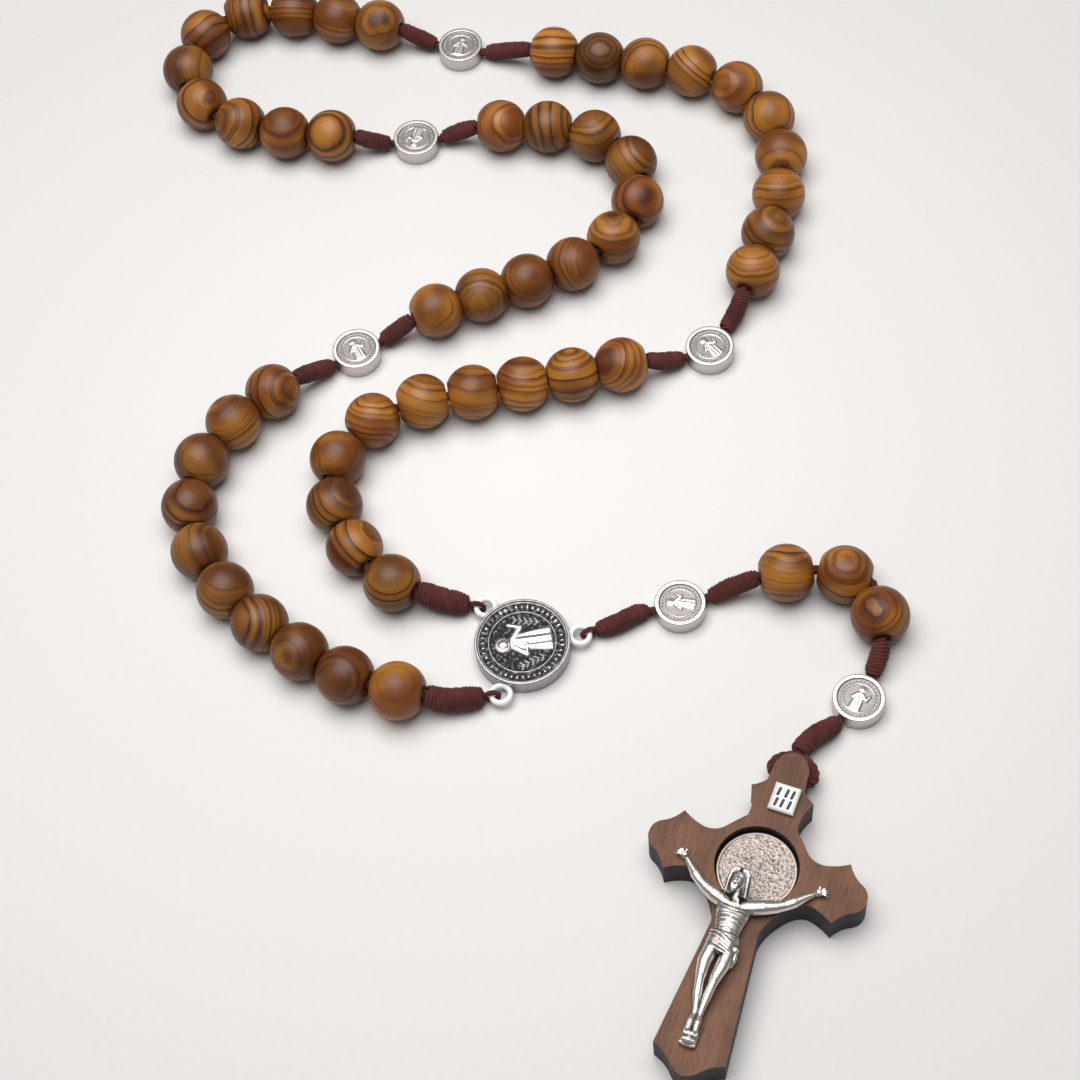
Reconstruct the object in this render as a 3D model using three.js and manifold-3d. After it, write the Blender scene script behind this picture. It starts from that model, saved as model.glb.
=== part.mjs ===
// A knotted-cord rosary laid out on a table: a cast centrepiece with three ring
// lugs, five decades of turned wooden beads on a maroon cord, six small drilled
// medals, three pendant beads and a wooden crucifix with a cast figure.
// Millimetres, +Z up, the table at z = 0.
import * as THREE from 'three';
import { mergeVertices } from 'three/addons/utils/BufferGeometryUtils.js';
import Module from 'manifold-3d';

const wasm = await Module();
wasm.setup();

// ---------- driving dimensions ----------
const GAP = 0.3;                 // clearance between neighbouring pieces

const BEAD_RADIUS = 5.0;
const BEAD_LENGTH = 8.8;
const BEAD_FACE_RADIUS = 2.2;    // flat round each end of the drilled hole
const BEND_RADIUS = 2.5;         // off the cord, where bent neighbours would touch
const BEAD_BORE_RADIUS = 1.7;
const BEAD_BAND = 1.5;           // half the width of the widest band
const SLEEVE_BORE_RADIUS = 1.8;
const SLEEVE_RADIUS = 2.18;
const BEAD_SIDES = 10;
const BEADS_PER_DECADE = 10;

const CORD_RADIUS = 0.9;
const CORD_SIDES = 8;
const CORD_STEP = 4.5;           // along the cord, 2.5 diameters
const KNOT_RADIUS = 1.75;
const STUB_LENGTH = 1.3;         // bare cord between a knot and a rim
const KNOT_CLEARANCE = 1.1;      // a tilted knot end clears the bead's face

const MEDAL_RADIUS = 4.4;
const MEDAL_THICKNESS = 3.2;
const MEDAL_RIM_WIDTH = 0.8;
const MEDAL_FACE_SUNK = 0.3;
const MEDAL_BORE_RADIUS = 1.1;

const CENTRE_RADIUS = 8.2;
const CENTRE_THICKNESS = 3.4;
const CENTRE_RIM_WIDTH = 0.9;
const LUG_OUTER_RADIUS = 2.1;
const LUG_HOLE_RADIUS = 1.15;
const LUG_THICKNESS = 1.6;
const LUG_REACH = 9.9;           // centrepiece middle to lug middle
const LUG_SPREAD = 121;          // degrees from the pendant lug to a loop lug

const CROSS_THICKNESS = 6.5;
const RECESS_RADIUS = 6.75;
const RECESS_DEPTH = 2.9;
const INLAY_THICKNESS = 1.0;
const TAB_HOLE_RADIUS = 1.3;
const TAB_HOLE_UP = 17.6;        // from the middle of the inlay
const PIN_RADIUS = 0.35;
const PIN_LENGTH = 3.4;
const PIN_HOLE_RADIUS = 0.65;

// ---------- where things lie on the table ----------
const CENTRE_AT = [-2.3, -38.5];
const PENDANT_TURN = 3;          // degrees, direction of the pendant lug
const CROSS_AT = [30.3, -85.3];
const CROSS_TURN = -27.4;        // degrees, upright direction away from +Y
const MEDALS_AT = [
  [38.0, 17.4], [-0.6, 98.3], [-11.4, 75.6], [-26.4, 26.8], [25.2, -34.8], [51.9, -56.8],
];

// Beads lie with their middle at BEAD_RADIUS; a third number lowers a point
// where the cord comes down to a rim. `lead` is the cord before the first bead,
// `slack` the room left between straight neighbours.
const DECADES = [
  {
    lead: 10.6,
    slack: 0.25,
    points: [[-15.5, -28.2, 3.0], [-19.5, -26.8, 4.8], [-24.4, -24.8], [-29.6, -16.5],
      [-32.6, -7.0], [-31.2, 2.5], [-25.0, 9.0], [-16.0, 11.8], [-6.5, 12.4], [2.5, 12.8],
      [11.5, 13.4], [20.5, 14.2], [25.7, 14.8, 4.8], [29.0, 15.2, 3.2]],
  },
  {
    lead: 9.3,
    slack: 0.35,
    points: [[44.0, 24.4, 3.2], [45.9, 27.7, 4.8], [48.4, 32.0], [52.8, 41.0], [56.2, 50.0],
      [58.0, 59.8], [56.6, 69.6], [51.2, 77.6], [43.3, 82.3], [34.8, 85.6], [26.0, 88.5],
      [17.0, 91.6], [13.6, 93.0, 4.8], [8.8, 95.0, 3.2]],
  },
  {
    lead: 8.6,
    slack: 0.2,
    points: [[-8.8, 101.6, 3.2], [-12.0, 102.8, 4.8], [-16.2, 104.5], [-24.9, 107.9],
      [-33.5, 111.2], [-42.5, 112.6], [-50.8, 109.0], [-55.6, 99.5], [-53.2, 89.4],
      [-46.0, 83.4], [-37.4, 79.4], [-28.6, 77.1], [-23.4, 76.4, 4.8], [-20.0, 76.0, 3.2]],
  },
  {
    lead: 8.8,
    slack: 0.15,
    points: [[-2.8, 75.5, 3.2], [1.1, 74.8, 4.8], [5.6, 74.0], [14.6, 72.4], [23.2, 68.9],
      [29.4, 61.6], [29.8, 52.0], [24.6, 44.0], [16.9, 38.9], [7.8, 36.2], [-1.0, 34.2],
      [-9.8, 32.0], [-15.3, 30.5, 4.8], [-18.2, 29.8, 3.2]],
  },
  {
    lead: 9.6,
    slack: 0.15,
    points: [[-34.0, 22.8, 3.2], [-38.1, 20.4, 4.8], [-42.0, 18.2], [-49.3, 12.8], [-55.2, 5.8],
      [-58.0, -3.0], [-57.0, -12.4], [-53.0, -21.1], [-47.7, -28.2], [-41.4, -34.8],
      [-34.0, -40.8], [-25.7, -45.4], [-20.1, -46.8, 4.8], [-16.5, -47.6, 3.0]],
  },
];
const PENDANT_BEADS = {
  lead: 10.4,
  slack: 0.5,
  points: [[34.8, -33.0, 3.2], [39.2, -32.8, 4.8], [44.0, -32.6], [49.5, -33.0], [53.4, -34.2],
    [57.2, -36.1], [58.2, -39.6], [58.0, -43.2], [57.4, -47.8, 4.7], [56.0, -50.8, 3.2]],
};
const PENDANT_TOP = { points: [[14.2, -36.6, 1.9], [18.0, -35.2, 1.9]] };
const PENDANT_END = { points: [[46.6, -61.0, 2.1], [43.6, -62.6, 2.8]] };

// ---------- materials ----------
function material(color, roughness, metalness) {
  return new THREE.MeshStandardMaterial({ color, roughness, metalness });
}
const BEAD_WOOD = material(0xa06a2c, 0.45, 0);
const CORD_MAROON = material(0x4d2023, 0.85, 0);
const BRIGHT_SILVER = material(0xd2ccc8, 0.3, 0.9);
const AGED_SILVER = material(0x8f8a86, 0.4, 0.9);
const CROSS_WOOD = material(0x70492f, 0.55, 0);

// ---------- solids ----------
function toSolid(geometry, matrix = new THREE.Matrix4()) {
  const bare = geometry.clone();
  bare.deleteAttribute('normal');
  bare.deleteAttribute('uv');
  const merged = mergeVertices(bare, 1e-5);
  merged.applyMatrix4(matrix);
  return new wasm.Manifold(new wasm.Mesh({
    numProp: 3,
    vertProperties: new Float32Array(merged.attributes.position.array),
    triVerts: new Uint32Array(merged.index.array),
  }));
}

function toGeometry(solid) {
  const mesh = solid.getMesh();
  const geometry = new THREE.BufferGeometry();
  geometry.setAttribute('position', new THREE.BufferAttribute(mesh.vertProperties, 3));
  geometry.setIndex(new THREE.BufferAttribute(mesh.triVerts, 1));
  geometry.computeVertexNormals();
  return geometry;
}

// Places a shape made round the Y axis so that its Y axis runs along `axis`.
function along(axis, at) {
  const turn = new THREE.Quaternion().setFromUnitVectors(new THREE.Vector3(0, 1, 0), axis);
  return new THREE.Matrix4().compose(at, turn, new THREE.Vector3(1, 1, 1));
}

function lathe(profile, sides) {
  return new THREE.LatheGeometry(profile.map(([r, y]) => new THREE.Vector2(r, y)), sides);
}

function rod(from, to, startRadius, endRadius, sides) {
  const axis = new THREE.Vector3().subVectors(to, from);
  const length = axis.length();
  const geometry = new THREE.CylinderGeometry(endRadius, startRadius, length, sides);
  const middle = new THREE.Vector3().addVectors(from, to).multiplyScalar(0.5);
  return toSolid(geometry, along(axis.normalize(), middle));
}

// ---------- the layout of the cord ----------
const root = new THREE.Group();
const UP = new THREE.Vector3(0, 0, 1);
const RIM_HEIGHT = MEDAL_THICKNESS / 2;
const LUG_HEIGHT = CENTRE_THICKNESS / 2;

function polar(at, degrees, reach, height) {
  const turn = THREE.MathUtils.degToRad(degrees);
  return new THREE.Vector3(at[0] + reach * Math.cos(turn), at[1] + reach * Math.sin(turn), height);
}

// Where a cord that runs to `point` leaves the outside of a lug ring.
function lugToward(degrees, point) {
  const lug = polar(CENTRE_AT, degrees, LUG_REACH, LUG_HEIGHT);
  const away = new THREE.Vector3(point[0] - lug.x, point[1] - lug.y, 0).normalize();
  return lug.addScaledVector(away, LUG_OUTER_RADIUS);
}

function rimToward(medal, point) {
  const [x, y] = MEDALS_AT[medal];
  const degrees = THREE.MathUtils.radToDeg(Math.atan2(point[1] - y, point[0] - x));
  return polar([x, y], degrees, MEDAL_RADIUS, RIM_HEIGHT);
}

function route(start, points, end) {
  const middle = points.map(([x, y, z = BEAD_RADIUS]) => new THREE.Vector3(x, y, z));
  return new THREE.CatmullRomCurve3([start, ...middle, end], false, 'centripetal');
}

// A stretch of a longer curve, measured along it.
class Stretch extends THREE.Curve {
  constructor(curve, from, to) {
    super();
    this.curve = curve;
    this.from = from / curve.getLength();
    this.to = to / curve.getLength();
  }

  getPoint(t, target = new THREE.Vector3()) {
    return this.curve.getPointAt(THREE.MathUtils.lerp(this.from, this.to, t), target);
  }
}

function tube(curve, from, to, radius) {
  const section = new THREE.Shape();
  section.absarc(0, 0, radius, 0, 2 * Math.PI, false);
  const steps = Math.max(1, Math.round((to - from) / CORD_STEP));
  const path = new Stretch(curve, from, to);
  const options = { steps, extrudePath: path, curveSegments: CORD_SIDES / 2, bevelEnabled: false };
  return new THREE.ExtrudeGeometry(section, options);
}

function addMesh(name, geometry, finish) {
  const mesh = new THREE.Mesh(geometry, finish);
  mesh.name = name;
  root.add(mesh);
}

function cordWithKnots(name, curve, from, to, knots) {
  let solid = toSolid(tube(curve, from, to, CORD_RADIUS));
  for (const [start, end] of knots) {
    solid = solid.add(toSolid(tube(curve, start, end, KNOT_RADIUS)));
  }
  addMesh(name, toGeometry(solid), CORD_MAROON);
}

// ---------- beads ----------
function beadGeometry() {
  const half = BEAD_LENGTH / 2;
  return lathe([
    [BEAD_BORE_RADIUS, -half], [BEAD_FACE_RADIUS, -half], [BEAD_RADIUS, -BEAD_BAND],
    [BEAD_RADIUS, BEAD_BAND], [BEAD_FACE_RADIUS, half], [BEAD_BORE_RADIUS, half],
    [BEAD_BORE_RADIUS, -half],
  ], BEAD_SIDES);
}

// Each bead sits against the last one; a bend in the cord pushes them apart.
function beadSteps(curve, lead, slack, count) {
  const length = curve.getLength();
  const places = [lead + BEAD_LENGTH / 2];
  while (places.length < count) {
    const here = places[places.length - 1];
    const ahead = curve.getTangentAt((here + BEAD_LENGTH + slack) / length);
    const bend = curve.getTangentAt(here / length).angleTo(ahead);
    const corner = 2 * BEND_RADIUS * Math.sin(bend / 2);
    const chord = BEAD_LENGTH * Math.cos(bend / 2) + corner + slack;
    const stretch = bend > 0.01 ? (bend / 2) / Math.sin(bend / 2) : 1;
    places.push(here + chord * stretch);
  }
  return places;
}

// A bead lies level, its hole along the chord of the cord inside it.
function beadMatrix(curve, place) {
  const length = curve.getLength();
  const before = curve.getPointAt((place - BEAD_LENGTH / 2) / length);
  const after = curve.getPointAt((place + BEAD_LENGTH / 2) / length);
  const centre = before.clone().add(after).multiplyScalar(0.25);
  centre.addScaledVector(curve.getPointAt(place / length), 0.5);
  centre.z = BEAD_RADIUS;
  return along(after.sub(before).setZ(0).normalize(), centre);
}

function addBead(name, curve, place) {
  addMesh(name, beadGeometry().applyMatrix4(beadMatrix(curve, place)), BEAD_WOOD);
}

// Two neighbouring beads held together by a short sleeve round the cord.
function addBeadPair(name, curve, first, second) {
  const a = beadMatrix(curve, first);
  const b = beadMatrix(curve, second);
  const inset = BEAD_LENGTH / 2 - 0.7;
  const from = new THREE.Vector3(0, inset, 0).applyMatrix4(a);
  const to = new THREE.Vector3(0, -inset, 0).applyMatrix4(b);
  const half = from.distanceTo(to) / 2;
  const sleeve = lathe([
    [SLEEVE_BORE_RADIUS, -half], [SLEEVE_RADIUS, -half], [SLEEVE_RADIUS, half],
    [SLEEVE_BORE_RADIUS, half], [SLEEVE_BORE_RADIUS, -half],
  ], BEAD_SIDES);
  const middle = from.clone().add(to).multiplyScalar(0.5);
  const collar = toSolid(sleeve, along(to.sub(from).normalize(), middle));
  const beads = toSolid(beadGeometry(), a).add(toSolid(beadGeometry(), b));
  addMesh(name, toGeometry(beads.add(collar)), BEAD_WOOD);
}

const PAIRED = [3, 5, 7];        // first bead of each joined pair in a decade

function addDecade(number, curve, { lead, slack }) {
  const places = beadSteps(curve, lead, slack, BEADS_PER_DECADE);
  const length = curve.getLength();
  for (let bead = 1; bead <= BEADS_PER_DECADE; bead += 1) {
    if (PAIRED.includes(bead)) {
      addBeadPair(`decade_${number}_beads_${bead}_${bead + 1}`, curve, places[bead - 1], places[bead]);
      bead += 1;
    } else {
      addBead(`decade_${number}_bead_${bead}`, curve, places[bead - 1]);
    }
  }
  const first = places[0] - BEAD_LENGTH / 2;
  const last = places[places.length - 1] + BEAD_LENGTH / 2;
  const knots = [
    [GAP + STUB_LENGTH, first - KNOT_CLEARANCE],
    [last + KNOT_CLEARANCE, length - GAP - STUB_LENGTH],
  ];
  cordWithKnots(`cord_decade_${number}`, curve, GAP, length - GAP, knots);
}

// ---------- medals ----------
function medalGeometry(axis) {
  const face = MEDAL_THICKNESS - MEDAL_FACE_SUNK;
  const rim = MEDAL_RADIUS - MEDAL_RIM_WIDTH;
  const disc = lathe([
    [0, 0], [MEDAL_RADIUS, 0], [MEDAL_RADIUS, MEDAL_THICKNESS], [rim, MEDAL_THICKNESS],
    [rim - 0.2, face], [0, face],
  ], 18);
  const solid = toSolid(disc, along(UP, new THREE.Vector3()));
  const reach = axis.clone().multiplyScalar(MEDAL_RADIUS + 1);
  const middle = new THREE.Vector3(0, 0, RIM_HEIGHT);
  const bore = rod(middle.clone().sub(reach), middle.clone().add(reach), MEDAL_BORE_RADIUS,
    MEDAL_BORE_RADIUS, 8);
  return toGeometry(solid.subtract(bore));
}

function addMedal(number, from, to) {
  const [x, y] = MEDALS_AT[number - 1];
  const axis = new THREE.Vector3(to.x - from.x, to.y - from.y, 0).normalize();
  const geometry = medalGeometry(axis).translate(x, y, 0);
  addMesh(`medal_${number}`, geometry, BRIGHT_SILVER);
}

// ---------- centrepiece ----------
function centrepieceGeometry() {
  const rim = CENTRE_RADIUS - CENTRE_RIM_WIDTH;
  const top = CENTRE_THICKNESS;
  const disc = lathe([
    [0, 0], [CENTRE_RADIUS, 0], [CENTRE_RADIUS, top], [rim, top], [rim - 0.3, top - 0.4],
    [0, top - 0.2],
  ], 28);
  let solid = toSolid(disc, along(UP, new THREE.Vector3()));
  const half = LUG_THICKNESS / 2;
  const ring = lathe([
    [LUG_HOLE_RADIUS, -half], [LUG_OUTER_RADIUS, -half], [LUG_OUTER_RADIUS, half],
    [LUG_HOLE_RADIUS, half], [LUG_HOLE_RADIUS, -half],
  ], 14);
  for (const degrees of [0, LUG_SPREAD, -LUG_SPREAD]) {
    const at = polar([0, 0], PENDANT_TURN + degrees, LUG_REACH, LUG_HEIGHT);
    solid = solid.add(toSolid(ring, along(UP, at)));
  }
  return toGeometry(solid);
}

// ---------- crucifix ----------
// Right half of the outline, from the foot to the top of the tab: two numbers
// are a straight edge's end, four are a curve's control point and end.
const CROSS_HALF = [
  [1.4, -35.6, 2.6, -34.2], [3.8, -32.9, 5.8, -32.3], [3.8, -11.2], [4.0, -8.6, 6.2, -5.8],
  [8.0, -3.4, 10.0, -3.6], [12.0, -4.0, 13.8, -5.2], [14.8, -3.4, 16.2, -2.6],
  [18.0, -1.8, 18.0, 0], [18.0, 1.8, 16.2, 2.6], [14.8, 3.4, 13.8, 5.2],
  [12.0, 4.0, 10.0, 3.6], [8.0, 3.4, 6.7, 4.9], [5.5, 6.4, 4.1, 7.8],
  [3.7, 10.2, 5.2, 13.0], [4.2, 13.6, 3.4, 14.7], [3.4, 17.2],
];
const CROSS_FOOT = -35.8;
const TAB_ROUND_UP = 17.2;
const TAB_ROUND_RADIUS = 3.4;

function crossShape() {
  const half = new THREE.Path();
  half.moveTo(0, CROSS_FOOT);
  for (const step of CROSS_HALF) {
    if (step.length === 2) {
      half.lineTo(...step);
    } else {
      half.quadraticCurveTo(...step);
    }
  }
  half.absarc(0, TAB_ROUND_UP, TAB_ROUND_RADIUS, 0, Math.PI / 2, false);
  const right = half.getPoints(4);
  const left = right.slice(1, -1).reverse().map((p) => new THREE.Vector2(-p.x, p.y));
  return new THREE.Shape([...right, ...left]);
}

const FACE_HEIGHT = CROSS_THICKNESS + GAP;      // back of what lies on the wood
const HAND_PINS = [[-11.2, -2.4], [10.6, -1.4]];
const PIN_FOOT = FACE_HEIGHT + 0.9 - PIN_LENGTH;

function at(u, v, z) {
  return new THREE.Vector3(u, v, z);
}

function crossWoodGeometry() {
  const slab = new THREE.ExtrudeGeometry(crossShape(), {
    depth: CROSS_THICKNESS, bevelEnabled: false, curveSegments: 4,
  });
  const floor = CROSS_THICKNESS - RECESS_DEPTH;
  const above = CROSS_THICKNESS + 1;
  const half = CROSS_THICKNESS / 2;
  let solid = toSolid(slab);
  solid = solid.subtract(rod(at(0, 0, floor), at(0, 0, above), RECESS_RADIUS, RECESS_RADIUS, 32));
  solid = solid.subtract(rod(at(-5, TAB_HOLE_UP, half), at(5, TAB_HOLE_UP, half),
    TAB_HOLE_RADIUS, TAB_HOLE_RADIUS, 10));
  for (const [u, v] of HAND_PINS) {
    const bottom = PIN_FOOT - GAP;
    solid = solid.subtract(rod(at(u, v, bottom), at(u, v, above), PIN_HOLE_RADIUS, PIN_HOLE_RADIUS, 8));
  }
  return toGeometry(solid);
}

function inlayGeometry() {
  const radius = RECESS_RADIUS - GAP;
  const disc = lathe([
    [0, 0], [radius, 0], [radius, INLAY_THICKNESS], [radius - 0.8, INLAY_THICKNESS],
    [radius - 0.9, INLAY_THICKNESS - 0.15], [0, INLAY_THICKNESS - 0.15],
  ], 26);
  const seat = CROSS_THICKNESS - RECESS_DEPTH + GAP;
  return disc.applyMatrix4(along(UP, at(0, 0, seat)));
}

function ball(u, v, z, radius, stretch = [1, 1, 1]) {
  const matrix = new THREE.Matrix4().makeTranslation(u, v, z);
  matrix.scale(new THREE.Vector3(...stretch));
  return toSolid(new THREE.SphereGeometry(radius, 8, 5), matrix);
}

// A cast figure with raised arms, its back flat on the wood.
function corpusGeometry() {
  const back = FACE_HEIGHT;
  const limb = (from, to, r1, r2) => rod(at(...from), at(...to), r1, r2, 7);
  const pieces = [
    ball(-1.4, -4.7, back + 2.1, 1.5, [1.0, 1.35, 1]),
    limb([-1.2, -5.4, back + 1.8], [-0.9, -8.6, back + 1.2], 0.9, 1.1),
    limb([-0.9, -7.4, back + 1.1], [-0.8, -13.6, back + 1.1], 2.2, 1.7),
    ball(-0.8, -15.0, back + 1.1, 2.5, [1.05, 1.0, 0.65]),
    ball(-3.2, -7.9, back + 1.1, 1.05),
    ball(1.6, -7.6, back + 1.1, 1.05),
    limb([-3.2, -7.9, back + 1.1], [-7.6, -5.7, back + 0.9], 1.0, 0.8),
    limb([-7.6, -5.7, back + 0.9], [-10.9, -2.9, back + 0.7], 0.85, 0.5),
    limb([1.6, -7.6, back + 1.1], [6.6, -5.0, back + 0.9], 1.0, 0.8),
    limb([6.6, -5.0, back + 0.9], [10.2, -1.9, back + 0.7], 0.85, 0.5),
    limb([-2.3, -15.8, back + 1.2], [-2.0, -20.8, back + 1.6], 1.15, 0.85),
    limb([-2.0, -20.8, back + 1.6], [-1.0, -26.8, back + 1.0], 0.85, 0.5),
    limb([0.3, -15.8, back + 1.2], [-0.1, -20.8, back + 1.6], 1.2, 0.85),
    limb([-0.1, -20.8, back + 1.6], [-0.4, -26.8, back + 1.0], 0.85, 0.5),
    limb([-0.7, -26.4, back + 0.9], [-0.7, -29.4, back + 1.1], 0.9, 0.9),
    ...HAND_PINS.map(([u, v]) => ball(u, v, back + 0.6, 1.2, [0.9, 1.0, 0.5])),
  ];
  const block = new THREE.BoxGeometry(3.2, 3.0, 1.2);
  let solid = toSolid(block, new THREE.Matrix4().makeTranslation(-0.7, -30.0, back + 0.6));
  for (const piece of pieces) {
    solid = solid.add(piece);
  }
  const slab = new THREE.BoxGeometry(60, 80, 10);
  solid = solid.subtract(toSolid(slab, new THREE.Matrix4().makeTranslation(0, 0, back - 5)));
  for (const [u, v] of HAND_PINS) {
    solid = solid.subtract(rod(at(u, v, back - 1), at(u, v, back + 3), PIN_HOLE_RADIUS,
      PIN_HOLE_RADIUS, 8));
  }
  return toGeometry(solid);
}

function pinGeometry([u, v]) {
  const top = PIN_LENGTH;
  const pin = lathe([
    [0, 0], [PIN_RADIUS, 0.3], [PIN_RADIUS, top], [0.55, top + 0.05], [0.35, top + 0.35],
    [0, top + 0.4],
  ], 8);
  return pin.applyMatrix4(along(UP, at(u, v, PIN_FOOT)));
}

function plateGeometry() {
  const plate = new THREE.BoxGeometry(4.3, 4.8, 0.5);
  return plate.translate(0.6, 12.1, FACE_HEIGHT + 0.25);
}

// The cord through the tab: out of each side of the hole and over the top.
const LOOP_SIDE = [[0, 17.6], [3.0, 17.6], [4.5, 18.3], [4.35, 19.8], [2.7, 21.3], [0.4, 21.95]];
const LOOP_TOP = 23.3;           // where the cord's end turns, just above the loop

function crossLoopGeometry() {
  const height = CROSS_THICKNESS / 2;
  const sides = [1, -1].map((side) => {
    const points = LOOP_SIDE.map(([u, v]) => at(side * u, v, height));
    points[0].x = -side * 0.5;
    const curve = new THREE.CatmullRomCurve3(points, false, 'centripetal');
    const section = new THREE.Shape();
    section.absarc(0, 0, CORD_RADIUS, 0, 2 * Math.PI, false);
    return toSolid(new THREE.ExtrudeGeometry(section, {
      steps: 7, extrudePath: curve, curveSegments: CORD_SIDES / 2, bevelEnabled: false,
    }));
  });
  return toGeometry(sides[0].add(sides[1]));
}

function addCrucifix() {
  const group = new THREE.Group();
  group.position.set(CROSS_AT[0], CROSS_AT[1], 0);
  group.rotation.z = THREE.MathUtils.degToRad(CROSS_TURN);
  const pieces = [
    ['cross_wood', crossWoodGeometry(), CROSS_WOOD],
    ['cross_inlay_medal', inlayGeometry(), BRIGHT_SILVER],
    ['corpus', corpusGeometry(), BRIGHT_SILVER],
    ['corpus_pin_left_hand', pinGeometry(HAND_PINS[0]), BRIGHT_SILVER],
    ['corpus_pin_right_hand', pinGeometry(HAND_PINS[1]), BRIGHT_SILVER],
    ['cross_title_plate', plateGeometry(), BRIGHT_SILVER],
    ['cord_cross_loop', crossLoopGeometry(), CORD_MAROON],
  ];
  for (const [name, geometry, finish] of pieces) {
    const mesh = new THREE.Mesh(geometry, finish);
    mesh.name = name;
    group.add(mesh);
  }
  root.add(group);
}

function crossPoint(v, z) {
  const turn = THREE.MathUtils.degToRad(CROSS_TURN);
  return new THREE.Vector3(CROSS_AT[0] - v * Math.sin(turn), CROSS_AT[1] + v * Math.cos(turn), z);
}

// ---------- assembly ----------
addMesh('centrepiece', centrepieceGeometry().translate(...CENTRE_AT, 0), AGED_SILVER);

const last = (points) => points[points.length - 1];
const decadeCurves = DECADES.map(({ points }, index) => {
  const start = index === 0
    ? lugToward(PENDANT_TURN + LUG_SPREAD, points[0])
    : rimToward(index - 1, points[0]);
  const end = index === 4
    ? lugToward(PENDANT_TURN - LUG_SPREAD, last(points))
    : rimToward(index, last(points));
  return route(start, points, end);
});
decadeCurves.forEach((curve, index) => addDecade(index + 1, curve, DECADES[index]));

const topCurve = route(lugToward(PENDANT_TURN, PENDANT_TOP.points[0]), PENDANT_TOP.points,
  rimToward(4, last(PENDANT_TOP.points)));
const topLength = topCurve.getLength();
cordWithKnots('cord_pendant_top', topCurve, GAP, topLength - GAP,
  [[GAP + STUB_LENGTH, topLength - GAP - STUB_LENGTH]]);

const beadCurve = route(rimToward(4, PENDANT_BEADS.points[0]), PENDANT_BEADS.points,
  rimToward(5, last(PENDANT_BEADS.points)));
const beadLength = beadCurve.getLength();
const pendantPlaces = beadSteps(beadCurve, PENDANT_BEADS.lead, PENDANT_BEADS.slack, 3);
pendantPlaces.forEach((place, index) => addBead(`pendant_bead_${index + 1}`, beadCurve, place));
cordWithKnots('cord_pendant_beads', beadCurve, GAP, beadLength - GAP, [
  [GAP + STUB_LENGTH, pendantPlaces[0] - BEAD_LENGTH / 2 - KNOT_CLEARANCE],
  [pendantPlaces[2] + BEAD_LENGTH / 2 + KNOT_CLEARANCE, beadLength - GAP - STUB_LENGTH],
]);

const endCurve = route(rimToward(5, PENDANT_END.points[0]), PENDANT_END.points,
  crossPoint(LOOP_TOP, CROSS_THICKNESS / 2));
const endLength = endCurve.getLength();
cordWithKnots('cord_pendant_end', endCurve, GAP, endLength - GAP,
  [[GAP + STUB_LENGTH, endLength - GAP - STUB_LENGTH]]);

const headOf = (curve) => curve.getPointAt(0);
const tailOf = (curve) => curve.getPointAt(1);
[0, 1, 2, 3].forEach((index) => {
  addMedal(index + 1, tailOf(decadeCurves[index]), headOf(decadeCurves[index + 1]));
});
addMedal(5, tailOf(topCurve), headOf(beadCurve));
addMedal(6, tailOf(beadCurve), headOf(endCurve));
addCrucifix();

export default root;
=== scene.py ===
"""A knotted cord rosary laid flat in an S curve: turned wooden beads, small drilled medals, a cast
centrepiece and a short pendant that ends in a wooden crucifix with a cast figure."""
import math
import random

import bmesh
import bpy
from mathutils import Matrix, Vector, noise


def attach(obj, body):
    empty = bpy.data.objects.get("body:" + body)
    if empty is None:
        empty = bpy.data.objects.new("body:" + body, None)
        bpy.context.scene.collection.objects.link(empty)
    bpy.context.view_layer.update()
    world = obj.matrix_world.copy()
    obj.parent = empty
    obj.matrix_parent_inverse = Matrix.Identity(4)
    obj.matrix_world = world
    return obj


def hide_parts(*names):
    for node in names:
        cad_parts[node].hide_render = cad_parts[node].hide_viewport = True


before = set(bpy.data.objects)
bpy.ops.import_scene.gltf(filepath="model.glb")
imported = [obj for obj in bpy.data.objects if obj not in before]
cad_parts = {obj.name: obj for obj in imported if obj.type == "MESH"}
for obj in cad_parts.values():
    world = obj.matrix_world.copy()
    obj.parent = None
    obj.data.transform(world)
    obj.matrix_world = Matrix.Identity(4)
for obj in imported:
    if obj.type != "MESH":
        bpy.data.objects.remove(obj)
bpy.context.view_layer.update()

# ---------- the camera ----------
# Stands over the crucifix side of the table and looks steeply down along the layout,
# leaning a few degrees to one side.
CAMERA_AT = Vector((0.002833, -0.218113, 0.3371))
CAMERA_PITCH = math.radians(59.2)
CAMERA_LEAN = math.radians(7.2)
CAMERA_LENS = 74.47

ahead = Vector((0, math.cos(CAMERA_PITCH), -math.sin(CAMERA_PITCH)))
level_up = Vector((0, math.sin(CAMERA_PITCH), math.cos(CAMERA_PITCH)))
level_right = Vector((1, 0, 0))
view_up = level_up * math.cos(CAMERA_LEAN) + level_right * math.sin(CAMERA_LEAN)
view_right = level_right * math.cos(CAMERA_LEAN) - level_up * math.sin(CAMERA_LEAN)

camera = bpy.data.objects.new("camera", bpy.data.cameras.new("camera"))
camera.data.lens = CAMERA_LENS
camera.data.sensor_width = 36
camera.data.clip_start = 0.01
camera.data.clip_end = 10
turned = Matrix((view_right, view_up, -ahead)).transposed()
camera.matrix_world = Matrix.Translation(CAMERA_AT) @ turned.to_4x4()
bpy.context.scene.collection.objects.link(camera)
bpy.context.scene.camera = camera


# ---------- the cord ----------
# Maroon three-ply nylon cord, 1.8 mm thick, tied in a wound barrel knot on each side of
# every medal and lug; the same cord runs through the beads and round the crucifix tab.
MM = 0.001
BEAD_RADIUS = 5.0
BEAD_LENGTH = 8.8
BEND_RADIUS = 2.5
RIM_GAP = 0.3                    # from the solids' cord end to a rim
STUB = 1.0                       # bare cord between a knot and a rim
KNOT_TO_BEAD = 0.25
INTO_RIM = 1.3                   # how far the cord runs on inside a medal's hole

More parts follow.
